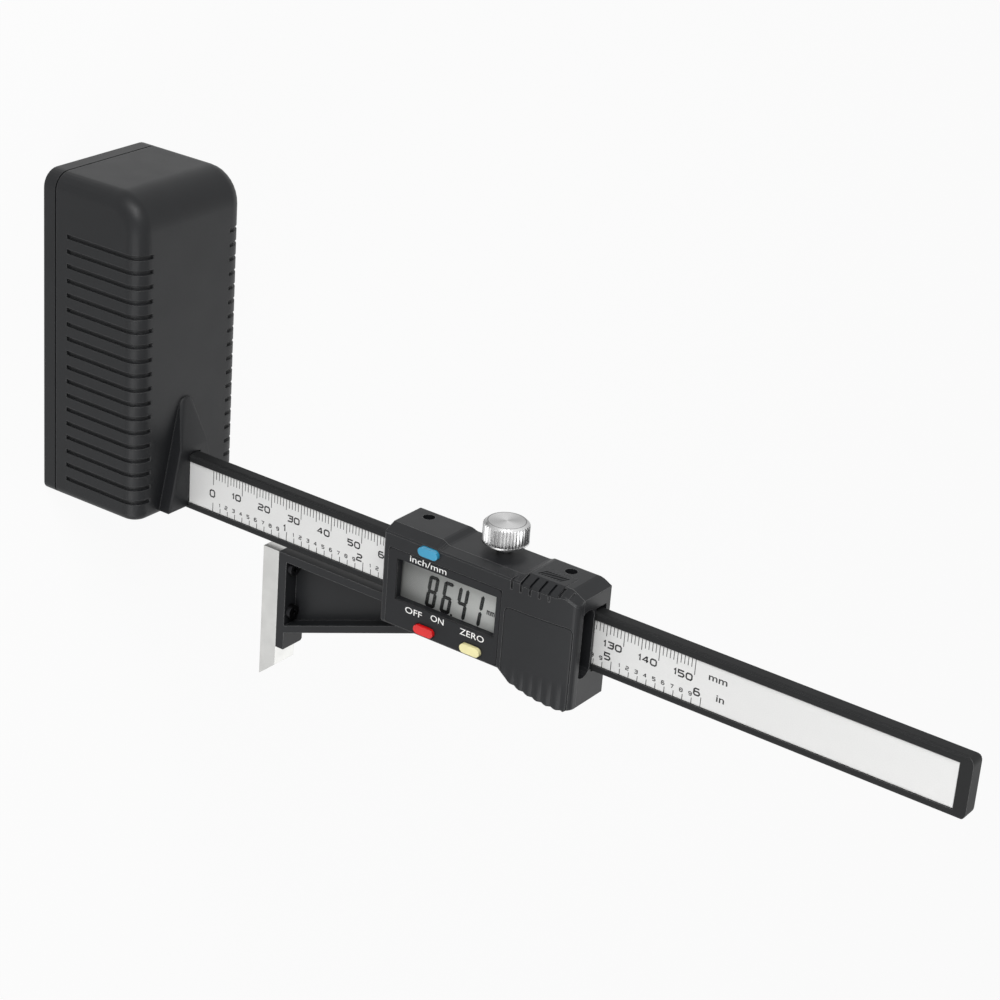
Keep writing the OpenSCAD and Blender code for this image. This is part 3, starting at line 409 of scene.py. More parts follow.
def spun_steel(name, colour, centre, ring_mm, ring_in, ring_out, fan_turn):
    """Plated steel turned on a lathe: rings that fan its highlights, with painted highlights in a fan and
    painted shade in the knurl's grooves.

    Painted shade darkens a ring between the radii ring_in and ring_out, and fan_turn turns the painted fan.
    """
    material, tree, shader, place = new_material(name, Metallic=1.0, Roughness=0.26, Anisotropic=0.7)
    around = add_node(tree, "ShaderNodeTangent", direction_type="RADIAL", axis="X")
    tree.links.new(around.outputs[0], shader.inputs["Tangent"])
    moved = add_node(tree, "ShaderNodeVectorMath", {0: place, 1: tuple(centre)}, operation="SUBTRACT")
    flat = add_node(tree, "ShaderNodeVectorMath", {0: moved.outputs[0], 1: (0, 1, 1)}, operation="MULTIPLY")
    radius = add_node(tree, "ShaderNodeVectorMath", {0: flat.outputs[0]}, operation="LENGTH")
    per_ring = math.tau * per_metre(ring_mm)
    turns = add_node(
        tree, "ShaderNodeMath", {0: radius.outputs["Value"], 1: per_ring}, operation="MULTIPLY"
    )
    rings = add_node(tree, "ShaderNodeMath", {0: turns.outputs[0]}, operation="SINE")
    edge = add_node(tree, "ShaderNodeBevel", {"Radius": 0.1 * MM}, samples=4)
    bump = add_node(
        tree,
        "ShaderNodeBump",
        {"Height": rings.outputs[0], "Distance": 0.003 * MM, "Normal": edge.outputs["Normal"]},
    )
    tree.links.new(bump.outputs["Normal"], shader.inputs["Normal"])
    axes = add_node(tree, "ShaderNodeSeparateXYZ", {"Vector": flat.outputs[0]})
    # Painted highlights: the colour rises and falls twice around the axis, in a fan
    angle = add_node(
        tree, "ShaderNodeMath", {0: axes.outputs["Z"], 1: axes.outputs["Y"]}, operation="ARCTAN2"
    )
    twice = add_node(
        tree, "ShaderNodeMath", {0: angle.outputs[0], 1: 2.0, 2: fan_turn}, operation="MULTIPLY_ADD"
    )
    wave = add_node(tree, "ShaderNodeMath", {0: twice.outputs[0]}, operation="SINE")
    fan = add_node(
        tree,
        "ShaderNodeMapRange",
        {"Value": wave.outputs[0], "From Min": -1.0, "To Min": 0.66, "To Max": 1.08},
    )
    # Painted shade: a dark ring between ring_in and ring_out, where a cut groove would be
    cut = add_node(
        tree,
        "ShaderNodeMapRange",
        {"Value": radius.outputs["Value"], "From Min": ring_in, "From Max": ring_out},
    )
    arc = add_node(tree, "ShaderNodeMath", {0: cut.outputs["Result"], 1: math.pi}, operation="MULTIPLY")
    dip = add_node(tree, "ShaderNodeMath", {0: arc.outputs[0]}, operation="SINE")
    shade = add_node(tree, "ShaderNodeMapRange", {"Value": dip.outputs[0], "To Min": 1.0, "To Max": 0.35})
    turned = add_node(
        tree, "ShaderNodeMath", {0: fan.outputs["Result"], 1: shade.outputs["Result"]}, operation="MULTIPLY"
    )
    # Painted shade in the knurl's grooves, from ambient occlusion
    grooves = openness(tree, 0.8)
    both = add_node(tree, "ShaderNodeMath", {0: turned.outputs[0], 1: grooves}, operation="MULTIPLY")
    tint = add_node(
        tree,
        "ShaderNodeVectorMath",
        {0: mottled(tree, place, colour, 3, 0.04), "Scale": both.outputs[0]},
        operation="SCALE",
    )
    tree.links.new(tint.outputs["Vector"], shader.inputs["Base Color"])
    return material


def polyester_film(name, colour):
    """Silvered polyester film: nearly white, with a weak satin sheen and a fine metallic speckle."""
    material, tree, shader, place = new_material(name, Metallic=0.15, Roughness=0.38)
    tree.links.new(mottled(tree, place, colour, 0.3, 0.02), shader.inputs["Base Color"])
    return material


def clear_acrylic(name):
    """Clear acrylic sheet: seen through, with a polished face that reflects a little."""
    material, tree, shader, place = new_material(name, IOR=1.49, Alpha=0.1)
    shader.inputs["Base Color"].default_value = rgba(linear("#1c1e1f"))
    tree.links.new(ranged(tree, place, 12, 0.04, 0.09), shader.inputs["Roughness"])
    return material


def lcd_reflector(name, colour):
    """Reflective polariser behind liquid crystal: a flat grey with a painted reflection that lightens it
    along the display.
    """
    material, tree, shader, place = new_material(name, Roughness=0.5)
    axes = add_node(tree, "ShaderNodeSeparateXYZ", {"Vector": place})
    along = add_node(
        tree,
        "ShaderNodeMapRange",
        {"Value": axes.outputs["Z"], "From Min": PANEL_LOW.z, "From Max": PANEL_HIGH.z},
    )
    ramp = add_node(tree, "ShaderNodeValToRGB", {"Fac": along.outputs["Result"]})
    # Painted reflection: the grey falls to 0.38 of its colour at the display's low end
    ramp.color_ramp.elements[0].color = rgba(c * 0.38 for c in colour)
    ramp.color_ramp.elements[1].color = rgba(colour)
    ramp.color_ramp.elements[1].position = 0.75
    tree.links.new(ramp.outputs["Color"], shader.inputs["Base Color"])
    return material


def smooth_rounds(name):
    """Blends the facets of a moulding's round edges, and leaves its flat faces flat."""
    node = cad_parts[name]
    mesh = node.data
    if "custom_normal" in mesh.attributes:
        mesh.attributes.remove(mesh.attributes["custom_normal"])
    mesh.shade_smooth()
    node.modifiers.new("join", "WELD").merge_threshold = 0.002 * MM
    node.modifiers.new("corners", "EDGE_SPLIT").split_angle = math.radians(20)
    node.modifiers.new("rounds", "WEIGHTED_NORMAL")


def finish_nodes(material, *nodes):
    """Puts the material on CAD nodes."""
    for name in nodes:
        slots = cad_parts[name].data.materials
        slots.clear()
        slots.append(material)


# Pieces

# Text and marks read along +Z with their tops towards -X, and face -Y
READING = Matrix(((0, -1, 0, 0), (0, 0, -1, 0), (1, 0, 0, 0), (0, 0, 0, 1)))


def printed_piece(name, mesh_form, front, material, body):
    """Makes a printed piece of a mesh drawn flat in reading directions, lying on the face at front."""
    mesh = bpy.data.meshes.new(name)
    mesh_form.transform(Matrix.Translation((0, front, 0)) @ READING)
    mesh_form.to_mesh(mesh)
    mesh_form.free()
    mesh.materials.append(material)
    piece = bpy.data.objects.new(name, mesh)
    bpy.context.scene.collection.objects.link(piece)
    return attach(piece, body)


def thicken(form, faces, thickness):
    """Gives flat faces of the form a thickness."""
    raised = bmesh.ops.extrude_face_region(form, geom=faces)
    corners = [part for part in raised["geom"] if isinstance(part, bmesh.types.BMVert)]
    bmesh.ops.translate(form, vec=(0, 0, thickness), verts=corners)


def add_outline(form, points, thickness):
    """Adds a flat closed outline with a thickness to the form."""
    foot = [form.verts.new((x, y, 0)) for x, y in points]
    thicken(form, [form.faces.new(foot)], thickness)


def add_bar(form, x0, y0, x1, y1, thickness):
    add_outline(form, [(x0, y0), (x1, y0), (x1, y1), (x0, y1)], thickness)


def add_words(form, words, start, end, baseline, height, thickness, bold=0.0):
    """Adds words in Blender's own font between two points of a line, with capitals of that height."""
    # The height of that font's capitals for a size of one
    capital_share = 0.729
    curve = bpy.data.curves.new("words", "FONT")
    curve.body = words
    curve.size = height / capital_share
    curve.extrude = thickness / 2
    curve.offset = bold
    curve.resolution_u = 3
    lettering = bpy.data.objects.new("words", curve)
    mesh = bpy.data.meshes.new_from_object(lettering)
    left = min(v.co.x for v in mesh.vertices)
    right = max(v.co.x for v in mesh.vertices)
    widen = (end - start) / (right - left)
    moved = Matrix.Translation((start - left * widen, baseline, thickness / 2))
    mesh.transform(moved @ Matrix.Diagonal((widen, 1, 1, 1)))
    form.from_mesh(mesh)
    bpy.data.objects.remove(lettering)
    bpy.data.curves.remove(curve)
    bpy.data.meshes.remove(mesh)


# The scale's square digits, drawn as lines in a cell that is one wide and one high. Their corners
# are cut by NEAR, FAR is the same cut from the other side, and a line that ends where it starts is
# closed
NEAR = 0.2
FAR = 1 - NEAR
FOOT_RIGHT = [(FAR, 0), (1, NEAR)]
HEAD_RIGHT = [(1, FAR), (FAR, 1)]
HEAD_LEFT = [(NEAR, 1), (0, FAR)]
FOOT_LEFT = [(0, NEAR), (NEAR, 0)]
OVAL = [(NEAR, 0), *FOOT_RIGHT, *HEAD_RIGHT, *HEAD_LEFT, *FOOT_LEFT]
BOWL = [(FAR, 0.55), (1, 0.55 - NEAR), (1, NEAR), (FAR, 0)]
DIGIT_LINES = {
    "0": [OVAL],
    "1": [[(0.1, 0.72), (0.8, 1), (0.8, 0)]],
    "2": [[(0, 1), (FAR, 1), (1, FAR), (1, 0.7), (FAR, 0.5), (NEAR, 0.5), (0, 0.3), (0, 0), (1, 0)]],
    "3": [[(0, 1), (1, 1), (1, 0.55), (0.3, 0.55)], [(1, 0.55), (1, NEAR), (FAR, 0), (0, 0)]],
    "4": [[(0.75, 0), (0.75, 0.95), (0.65, 0.95), (0, 0.3), (1, 0.3)]],
    "5": [[(1, 1), (0, 1), (0, 0.55), *BOWL, (0, 0)]],
    "6": [[(0.9, 1), *HEAD_LEFT, *FOOT_LEFT, *reversed(BOWL), (0, 0.55)]],
    "7": [[(0, 1), (1, 1), (0.4, 0)]],
    "8": [OVAL, [(0, 0.52), (1, 0.52)]],
    "9": [[(0.1, 0), *FOOT_RIGHT, *HEAD_RIGHT, *HEAD_LEFT, (0, 0.45 + NEAR), (NEAR, 0.45), (1, 0.45)]],
}
# A corner of a line reaches no further out than a stroke's half width over this
MITRE_LIMIT = 0.6


def add_line(form, points, stroke, thickness):
    """Adds a flat ribbon of one stroke's width along the points, mitred where it turns."""
    closed = points[0] == points[-1]
    path = [Vector(point) for point in (points[:-1] if closed else points)]
    ways = [(after - before).normalized() for before, after in zip(path, path[1:])]
    if closed:
        ways.append((path[0] - path[-1]).normalized())
    # The way into each point and the way out of it
    arriving = [ways[-1] if closed else ways[0], *ways]
    leaving = ways if closed else [*ways, ways[-1]]
    sides = []
    for point, came, goes in zip(path, arriving, leaving):
        left = Vector((-came.y, came.x))
        across = (left + Vector((-goes.y, goes.x))).normalized()
        reach = stroke / 2 / max(across.dot(left), MITRE_LIMIT)
        sides.append([form.verts.new((*(point + sign * reach * across), 0)) for sign in (-1, 1)])
    pairs = list(zip(sides, sides[1:]))
    if closed:
        pairs.append((sides[-1], sides[0]))
    thicken(form, [form.faces.new((a[0], b[0], b[1], a[1])) for a, b in pairs], thickness)


def add_number(form, number, end, baseline, height, width, thickness, stroke):
    """Adds a number that ends at a point, in wide square digits with a narrow one."""
    gap = 0.14 * width
    edge = stroke / 2
    tall = height - stroke
    for digit in reversed(str(number)):
        wide = 0.5 * width if digit == "1" else width
        start = end - wide
        across = wide - stroke
        for line in DIGIT_LINES[digit]:
            points = [(start + edge + x * across, baseline + edge + y * tall) for x, y in line]
            add_line(form, points, stroke, thickness)
        end = start - gap


def label_edges():
    """Heights of the label's two long edges in reading directions."""
    return -LABEL_HIGH.x, -LABEL_LOW.x


def make_ticks(sizes):
    """The marks of both scales in one mesh."""
    form = bmesh.new()
    low, high = label_edges()
    half = sizes.tick / 2
    for mark in range(sizes.millimetres + 1):
        length = sizes.tick_ten if mark % 10 == 0 else sizes.tick_five if mark % 5 == 0 else sizes.tick_one
        at = ZERO_Z + mark * MM
        add_bar(form, at - half, high - length, at + half, high, sizes.ink)
    for mark in range(10 * sizes.inches + 1):
        length = sizes.tick_inch if mark % 10 == 0 else sizes.tick_tenth
        at = ZERO_Z + mark * INCH / 10 * MM
        add_bar(form, at - half, low, at + half, low + length, sizes.ink)
    return form


def add_unit(form, word, start_and_width, baseline, sizes):
    """Adds a scale's unit past its last mark."""
    start_mm, width_mm = start_and_width
    start = ZERO_Z + (sizes.millimetres + start_mm) * MM
    line = (start, start + width_mm * MM, -BEAM_X + baseline * MM)
    add_words(form, word, *line, sizes.digit, sizes.ink, sizes.word_bold)


def make_millimetre_numbers(sizes):
    """Numbers of the metric scale, each ending just before its mark."""
    form = bmesh.new()
    form_of_digits = (sizes.digit_width, sizes.ink, sizes.digit_stroke)
    zero_end = ZERO_Z + ZERO_OVERRUN * MM
    zero_height = sizes.digit * ZERO_GROWTH
    add_number(form, 0, zero_end, -BEAM_X + ZERO_BASELINE * MM, zero_height, *form_of_digits)
    baseline = -BEAM_X + METRIC_BASELINE * MM
    for mark in range(10, sizes.millimetres + 1, 10):
        end = ZERO_Z + (mark - METRIC_GAP) * MM
        add_number(form, mark, end, baseline, sizes.digit, *form_of_digits)
    add_unit(form, "mm", METRIC_WORD, METRIC_WORD_BASELINE, sizes)
    return form


def make_inch_numbers(sizes):
    """Numbers of the inch scale: small ones at the tenths and large ones at the inches."""
    form = bmesh.new()
    for mark in range(1, 10 * sizes.inches + 1):
        at = ZERO_Z + mark * INCH / 10 * MM
        if mark % 10:
            small = (sizes.small_digit, sizes.small_digit_width, sizes.ink, sizes.small_digit_stroke)
            add_number(form, mark % 10, at, -BEAM_X + TENTH_BASELINE * MM, *small)
        else:
            large = (sizes.digit * INCH_GROWTH, sizes.digit_width, sizes.ink, sizes.digit_stroke)
            add_number(form, mark // 10, at - INCH_GAP * MM, -BEAM_X + INCH_BASELINE * MM, *large)
    add_unit(form, "in", INCH_WORD, INCH_WORD_BASELINE, sizes)
    return form


# The seven strokes of a display digit: along the top, middle and foot, then the four uprights
STROKES = {"8": "tmfabcd", "6": "tmfacd", "4": "mabd", "1": "bd"}


def add_digit(form, digit, left, foot, width, height, stroke, slant, ink):
    """Adds one seven-stroke digit that leans to the right by slant over its height."""
    gap = 0.12 * stroke
    tip = stroke / 2
    half = height / 2

    def flat(y):
        return [
            (left + gap, y),
            (left + gap + tip, y - tip),
            (left + width - gap - tip, y - tip),
            (left + width - gap, y),
            (left + width - gap - tip, y + tip),
            (left + gap + tip, y + tip),
        ]

    def upright(x, y):
        return [
            (x, y + gap),
            (x + tip, y + gap + tip),
            (x + tip, y + half - gap - tip),
            (x, y + half - gap),
            (x - tip, y + half - gap - tip),
            (x - tip, y + gap + tip),
        ]

    outlines = {
        "t": flat(foot + height - tip),
        "m": flat(foot + half),
        "f": flat(foot + tip),
        "a": upright(left + tip, foot + half),
        "b": upright(left + width - tip, foot + half),
        "c": upright(left + tip, foot),
        "d": upright(left + width - tip, foot),
    }
    for name in STROKES[digit]:
        lean = [(x + slant * (y - foot) / height, y) for x, y in outlines[name]]
        add_outline(form, lean, ink)


def make_reading(sizes):
    """The display's reading, with its point and its small unit."""
    form = bmesh.new()
    foot = -BEAM_X + READING_FOOT * MM
    left = SLIDER_Z + READING_START * MM
    pitch = READING_PITCH * MM
    digit_form = [v * MM for v in (READING_WIDTH, READING_HEIGHT, READING_STROKE, READING_SLANT)]
    for place, digit in enumerate("8641"):
        add_digit(form, digit, left + place * pitch, foot, *digit_form, sizes.ink)
    point = left + 2 * pitch - READING_POINT_BACK * MM
    side = READING_POINT * MM
    add_bar(form, point, foot, point + side, foot + side, sizes.ink)
    unit = SLIDER_Z + READING_UNIT_START * MM
    line = (unit, unit + READING_UNIT_WIDTH * MM, -BEAM_X + READING_UNIT_BASELINE * MM)
    add_words(form, "mm", *line, READING_UNIT_HEIGHT * MM, sizes.ink, sizes.segment_bold)
    return form


def make_legends(sizes):
    """White words beside the buttons."""
    form = bmesh.new()
    for words, start, end, baseline in LEGENDS:
        line = (SLIDER_Z + start * MM, SLIDER_Z + end * MM, -BEAM_X - baseline * MM)
        add_words(form, words, *line, sizes.legend, sizes.ink)
    return form


# Operators


class GAUGE_OT_base(bpy.types.Operator):
    """Finish the grip base, its plate and what holds it"""

    bl_idname = "gauge.base"
    bl_label = "Finish the base"

    def execute(self, context):
        housing = context.scene.gauge_colours.housing
        # ABS moulded in an eroded tool: black with a soft, slightly rough sheen
        grained = moulded_plastic(
            "grained_abs_housing",
            housing,
            roughness=0.44,
            grain_mm=0.35,
            grain_depth_mm=0.03,
            edge_mm=0.5,
            level=0.25,
            # Faint painted highlights along sharp edges
            edge_highlight=0.1,
        )
        finish_nodes(grained, "base_housing")
        smooth_rounds("base_housing")
        # ABS from a smoother tool: the same black, more even
        satin = moulded_plastic(
            "satin_abs_plate",
            housing,
            roughness=0.42,
            grain_mm=0.5,
            grain_depth_mm=0.012,
            edge_mm=0.2,
            level=0.25,
            # Faint painted highlights along sharp edges
            edge_highlight=0.1,
        )
        finish_nodes(satin, "base_plate")
        # Nickel plating on a pressed magnet: bright and a little warm
        nickel = ground_steel("plated_nickel", linear("#cfcdc6"), 0.2, 0.4)
        finish_nodes(nickel, "base_magnets")
        # Zinc plating on small screws: cooler and duller
        zinc = ground_steel("zinc_plated_steel", linear("#a9abb0"), 0.3, 0.4)
        finish_nodes(zinc, "base_screws", "beam_screws", "cover_screws")
        return {"FINISHED"}


class GAUGE_OT_beam(bpy.types.Operator):
    """Finish the beam, its measuring strip and its label"""

    bl_idname = "gauge.beam"
    bl_label = "Finish the beam"

    def execute(self, context):
        colours = context.scene.gauge_colours
        # Moulded nylon filled with carbon: nearly black and matt, with painted highlights that turn its sharp
        # edges grey
        nylon = moulded_plastic(
            "carbon_filled_nylon",
            colours.beam,
            roughness=0.62,
            grain_mm=0.8,
            grain_depth_mm=0.01,
            edge_mm=0.25,
            level=0.25,
            edge_highlight=0.5,
        )
        finish_nodes(nylon, "beam")
        finish_nodes(polyester_film("silvered_polyester", colours.label), "scale_label")
        # Sprayed solder mask: glossy green that follows the board's slight waves
        mask = moulded_plastic(
            "solder_mask", linear("#1f5a33"), roughness=0.35, grain_mm=2, grain_depth_mm=0.005, edge_mm=0.1
        )
        finish_nodes(mask, "stator_strip", "circuit_board")
        return {"FINISHED"}


class GAUGE_OT_scale(bpy.types.Operator):
    """Print the marks and numbers of both scales on the label"""

    bl_idname = "gauge.scale"
    bl_label = "Print the scale"

    def execute(self, context):
        sizes = context.scene.gauge_print
        ink = printed_ink("screen_ink_dark", context.scene.gauge_colours.print_dark)
        for name, form in (
            ("scale_ticks", make_ticks(sizes)),
            ("scale_millimetre_numbers", make_millimetre_numbers(sizes)),
            ("scale_inch_numbers", make_inch_numbers(sizes)),
        ):
            printed_piece(name, form, LABEL_FRONT, ink, "stand")
        return {"FINISHED"}


class GAUGE_OT_slider(bpy.types.Operator):
    """Finish the slider's frame, its cover and its two lids"""

    bl_idname = "gauge.slider"
    bl_label = "Finish the slider"

    def execute(self, context):
        slider = context.scene.gauge_colours.slider
        satin = {"roughness": 0.42, "grain_mm": 0.4, "grain_depth_mm": 0.012, "level": 0.24}
        # ABS from a fine tool: satin black, with painted highlights that turn its corners grey
        shell = moulded_plastic("moulded_abs_shell", slider, edge_mm=0.25, edge_highlight=0.5, **satin)
        finish_nodes(shell, "slider_frame", "slider_cover")
        # The same ABS with small radii, so that the lid's marks stay crisp
        lid = moulded_plastic("satin_abs_lid", slider, edge_mm=0.05, **satin)
        finish_nodes(lid, "port_cover")
        # The same ABS with the grip's ridges running out on it
        door = moulded_plastic("ribbed_abs_door", slider, edge_mm=0.2, relief=thumb_ridges, **satin)
        finish_nodes(door, "battery_door")
        # Polycarbonate film printed black on its back: flat and a little duller than the shells
        film = moulded_plastic(
            "printed_film_fascia",
            slider,
            roughness=0.48,
            grain_mm=0.6,
            grain_depth_mm=0.006,
            edge_mm=0.1,
            level=0.2,
        )
        finish_nodes(film, "fascia")
        return {"FINISHED"}


class GAUGE_OT_display(bpy.types.Operator):
    """Finish the display and draw its reading"""

    bl_idname = "gauge.display"
    bl_label = "Finish the display"

    def execute(self, context):
        colours = context.scene.gauge_colours
        sizes = context.scene.gauge_print
        finish_nodes(clear_acrylic("clear_acrylic_window"), "lcd_window")
        finish_nodes(lcd_reflector("lcd_reflector", colours.lcd), "lcd_panel")
        # Silicone with carbon layers: soft, matt and pink
        silicone = moulded_plastic(
            "zebra_silicone", linear("#c78f97"), roughness=0.6, grain_mm=0.5, grain_depth_mm=0.01, edge_mm=0.1
        )
        finish_nodes(silicone, "zebra_strips")
        # Liquid crystal that is switched on: matt black
        crystal = printed_ink("liquid_crystal", colours.segment)
        printed_piece("display_reading", make_reading(sizes), LCD_FRONT, crystal, "slider")
        return {"FINISHED"}


class GAUGE_OT_legends(bpy.types.Operator):
    """Print the white words beside the buttons"""

    bl_idname = "gauge.legends"
    bl_label = "Print the legends"

    def execute(self, context):
        ink = printed_ink("screen_ink_white", context.scene.gauge_colours.print_light)
        form = make_legends(context.scene.gauge_print)
        printed_piece("button_legends", form, LEGEND_FRONT, ink, "slider")
        return {"FINISHED"}


class GAUGE_OT_buttons(bpy.types.Operator):
    """Finish the three buttons and the domes under them"""

    bl_idname = "gauge.buttons"
    bl_label = "Finish the buttons"

    def execute(self, context):
        colours = context.scene.gauge_colours
        finish_nodes(gloss_abs("gloss_abs_blue", colours.unit_button), "button_unit")
        finish_nodes(gloss_abs("gloss_abs_red", colours.power_button), "button_power")
        finish_nodes(gloss_abs("gloss_abs_cream", colours.zero_button), "button_zero")
        # Thin stainless pressed into domes: bright, with a faint grit
        finish_nodes(ground_steel("pressed_stainless", linear("#c8c8c6"), 0.3, 0.3), "button_domes")
        return {"FINISHED"}


class GAUGE_OT_lock(bpy.types.Operator):
    """Finish the lock screw, its pad, the gib strip and the gib's screws"""

    bl_idname = "gauge.lock"
    bl_label = "Finish the lock"

    def execute(self, context):
        rim = (KNOB_HIGH.z - KNOB_LOW.z) / 2
        # Painted highlights in a fan on the knob's top, and a painted dark ring near its rim
        knob = spun_steel(
            "spun_plated_steel",
            context.scene.gauge_colours.steel,
            centre=(KNOB_LOW + KNOB_HIGH) / 2,
            ring_mm=0.3,
            ring_in=0.78 * rim,
            ring_out=0.84 * rim,
            fan_turn=math.radians(200),
        )
        finish_nodes(knob, "lock_screw")
        # Brass rolled along the beam: yellow, with long scratches
        brass = ground_steel("rolled_brass", linear("#c9a35a"), 0.3, 0.3, along=(1, 1, 0.1))
        finish_nodes(brass, "lock_pad", "gib_strip")
        # Steel blackened in hot oil: dark grey that still shines like metal
        black = ground_steel("blackened_steel", linear("#2c2c2e"), 0.4, 0.3)
        finish_nodes(black, "gib_screws", "blade_screws")
        return {"FINISHED"}


class GAUGE_OT_arm(bpy.types.Operator):
    """Finish the steel blade on the arm"""

    bl_idname = "gauge.arm"
    bl_label = "Finish the blade"

    def execute(self, context):
        # Stainless steel ground along its length: pale, with fine long scratches
        blade = ground_steel("ground_stainless", linear("#cfcfcd"), 0.34, 0.25, along=(0.05, 1, 1))
        finish_nodes(blade, "blade")
        return {"FINISHED"}


class GAUGE_OT_inside(bpy.types.Operator):
    """Finish the button cell and its contacts"""

    bl_idname = "gauge.inside"
    bl_label = "Finish the inside"

    def execute(self, context):
        # The cell's drawn can with its nickel skin: bright and cool
        finish_nodes(ground_steel("drawn_nickel_can", linear("#c4c5c8"), 0.25, 0.3), "battery")
        # Sprung brass under a thin gold skin: bright and yellow
        contact = ground_steel("gilt_brass", linear("#d8b765"), 0.25, 0.3)
        finish_nodes(contact, "contact_plus", "contact_minus")
        return {"FINISHED"}


def add_lamp(name, place, aim, size, watts):
    """A square soft box that faces a point."""
    data = bpy.data.lights.new(name, "AREA")
    data.energy = watts
    data.size = size
    lamp = bpy.data.objects.new(name, data)
    lamp.location = place
    lamp.rotation_euler = (Vector(aim) - Vector(place)).to_track_quat("-Z", "Y").to_euler()
    bpy.context.scene.collection.objects.link(lamp)


def white_to_camera(tree, lit, white, share):
    """Mixes a lit shader with a share of white, where the camera sees it directly, in glass or in metal."""
    path = add_node(tree, "ShaderNodeLightPath")
    seen = path.outputs["Is Camera Ray"]
    for ray in ("Is Glossy Ray", "Is Transmission Ray"):
        either = add_node(tree, "ShaderNodeMath", {0: seen, 1: path.outputs[ray]}, operation="MAXIMUM")
        seen = either.outputs[0]
    part = add_node(tree, "ShaderNodeMath", {0: seen, 1: share}, operation="MULTIPLY")
    return add_node(tree, "ShaderNodeMixShader", {0: part.outputs[0], 1: lit, 2: white}).outputs[0]


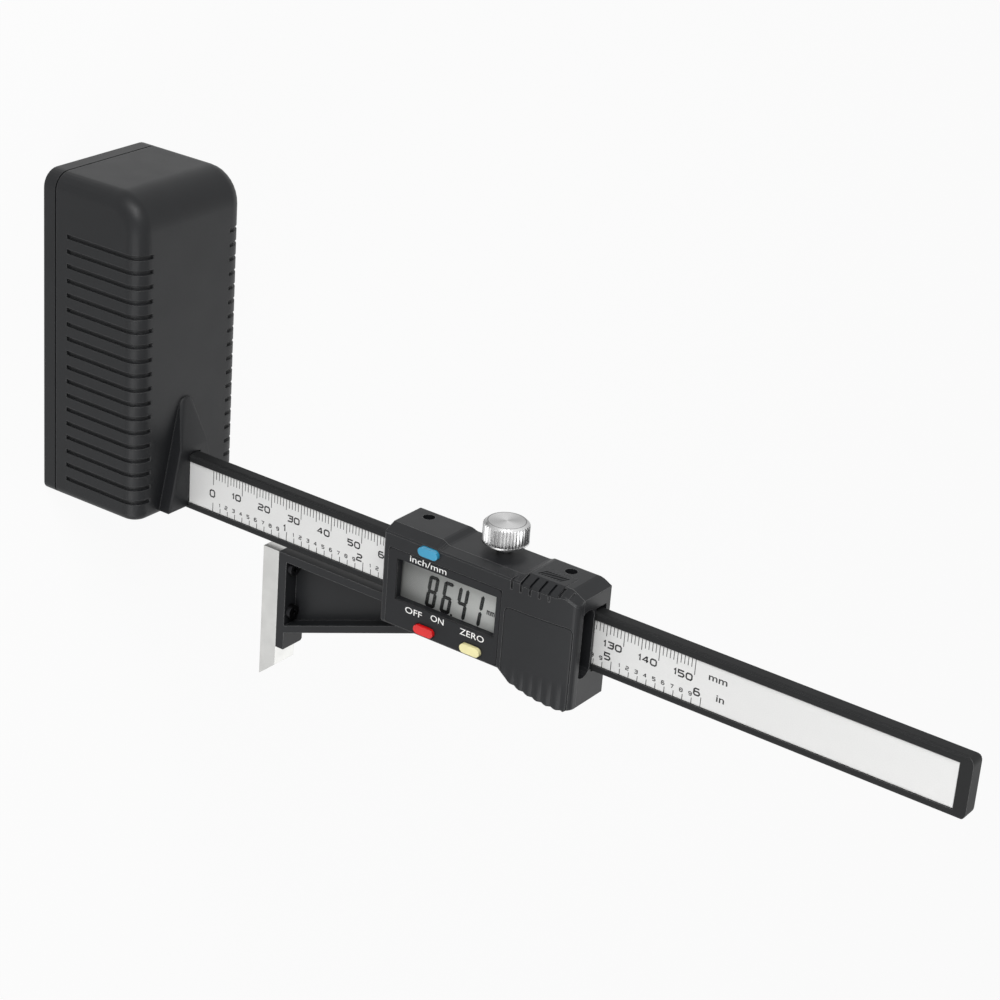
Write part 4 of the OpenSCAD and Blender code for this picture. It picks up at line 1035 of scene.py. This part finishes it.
class GAUGE_OT_stage(bpy.types.Operator):
    """Set up the floor, the lamps and the camera"""

    bl_idname = "gauge.stage"
    bl_label = "Set up the studio"

    def execute(self, context):
        scene = context.scene
        studio = scene.gauge_studio
        middle = (CAD_LOW + CAD_HIGH) / 2
        self.make_floor()
        # Each lamp's place and size in metres, and its power
        for name, place, size, watts in (
            ("key", (-1.05, -0.7, 0.65), 0.7, studio.key),
            ("fill", (0.7, -0.95, 0.35), 0.9, studio.fill),
            ("rear", (0.55, 0.9, 0.75), 0.7, studio.rear),
        ):
            add_lamp(name, place, middle, size, watts)
        self.make_surround(scene, studio)
        scene.view_settings.view_transform = "Standard"
        self.place_camera(scene, studio)
        return {"FINISHED"}

    def make_floor(self):
        """White paper under the gauge: matt, so that it shows the shadow and no reflection."""
        mesh = bpy.data.meshes.new("floor")
        signs = ((-1, -1), (1, -1), (1, 1), (-1, 1))
        corners = [(x * FLOOR_REACH, y * FLOOR_REACH, -FLOOR_DROP * MM) for x, y in signs]
        mesh.from_pydata(corners, [], [(0, 1, 2, 3)])
        floor = bpy.data.objects.new("floor", mesh)
        bpy.context.scene.collection.objects.link(floor)
        material = bpy.data.materials.new("white_paper")
        material.use_nodes = True
        tree = material.node_tree
        tree.nodes.clear()
        paper = add_node(tree, "ShaderNodeBsdfDiffuse", {"Color": rgba(linear("#f1f1f1"))})
        white = add_node(tree, "ShaderNodeEmission", {"Color": (1, 1, 1, 1), "Strength": 1.0})
        surface = white_to_camera(tree, paper.outputs[0], white.outputs[0], FLOOR_WHITE)
        add_node(tree, "ShaderNodeOutputMaterial", {"Surface": surface})
        mesh.materials.append(material)

    def make_surround(self, scene, studio):
        """A surround that lights the gauge weakly, and is plain white where it is seen."""
        world = bpy.data.worlds.new("studio")
        world.use_nodes = True
        tree = world.node_tree
        tree.nodes.clear()
        lit = add_node(tree, "ShaderNodeBackground", {"Color": (1, 1, 1, 1), "Strength": studio.world})
        plain = add_node(tree, "ShaderNodeBackground", {"Color": (1, 1, 1, 1), "Strength": 1.0})
        surface = white_to_camera(tree, lit.outputs[0], plain.outputs[0], 1.0)
        add_node(tree, "ShaderNodeOutputWorld", {"Surface": surface})
        scene.world = world

    def place_camera(self, scene, studio):
        """Looks down on the gauge from the front, turned so that the beam runs down to the right."""
        data = bpy.data.cameras.new("camera")
        data.lens = studio.lens
        data.sensor_width = SENSOR_WIDTH
        data.clip_start = 0.01
        data.clip_end = 20
        camera = bpy.data.objects.new("camera", data)
        aim = Vector(CAMERA_DIRECTION).to_track_quat("-Z", "Y").to_matrix()
        turn = aim @ Matrix.Rotation(studio.roll, 3, "Z")
        camera.matrix_world = Matrix.Translation(Vector(CAMERA_PLACE) * MM) @ turn.to_4x4()
        scene.collection.objects.link(camera)
        scene.camera = camera


PIECE_OPERATORS = (
    GAUGE_OT_base,
    GAUGE_OT_beam,
    GAUGE_OT_scale,
    GAUGE_OT_slider,
    GAUGE_OT_display,
    GAUGE_OT_legends,
    GAUGE_OT_buttons,
    GAUGE_OT_lock,
    GAUGE_OT_arm,
    GAUGE_OT_inside,
    GAUGE_OT_stage,
)


class GAUGE_PT_panel(bpy.types.Panel):
    """Lists the steps and the settings that they use"""

    bl_idname = "GAUGE_PT_panel"
    bl_label = "Height gauge"
    bl_space_type = "VIEW_3D"
    bl_region_type = "UI"
    bl_category = "Gauge"

    def draw(self, context):
        for operator in PIECE_OPERATORS:
            self.layout.operator(operator.bl_idname)
        for group in (context.scene.gauge_colours, context.scene.gauge_print, context.scene.gauge_studio):
            box = self.layout.box()
            for name in group.__annotations__:
                box.prop(group, name)


CLASSES = (GaugeColours, GaugePrint, GaugeStudio, *PIECE_OPERATORS, GAUGE_PT_panel)


def register():
    for each in CLASSES:
        bpy.utils.register_class(each)
    bpy.types.Scene.gauge_colours = bpy.props.PointerProperty(type=GaugeColours)
    bpy.types.Scene.gauge_print = bpy.props.PointerProperty(type=GaugePrint)
    bpy.types.Scene.gauge_studio = bpy.props.PointerProperty(type=GaugeStudio)


def unregister():
    del bpy.types.Scene.gauge_studio
    del bpy.types.Scene.gauge_print
    del bpy.types.Scene.gauge_colours
    for each in reversed(CLASSES):
        bpy.utils.unregister_class(each)


def main():
    register()
    for operator in PIECE_OPERATORS:
        group, name = operator.bl_idname.split(".")
        getattr(getattr(bpy.ops, group), name)()


if __name__ == "__main__":
    main()
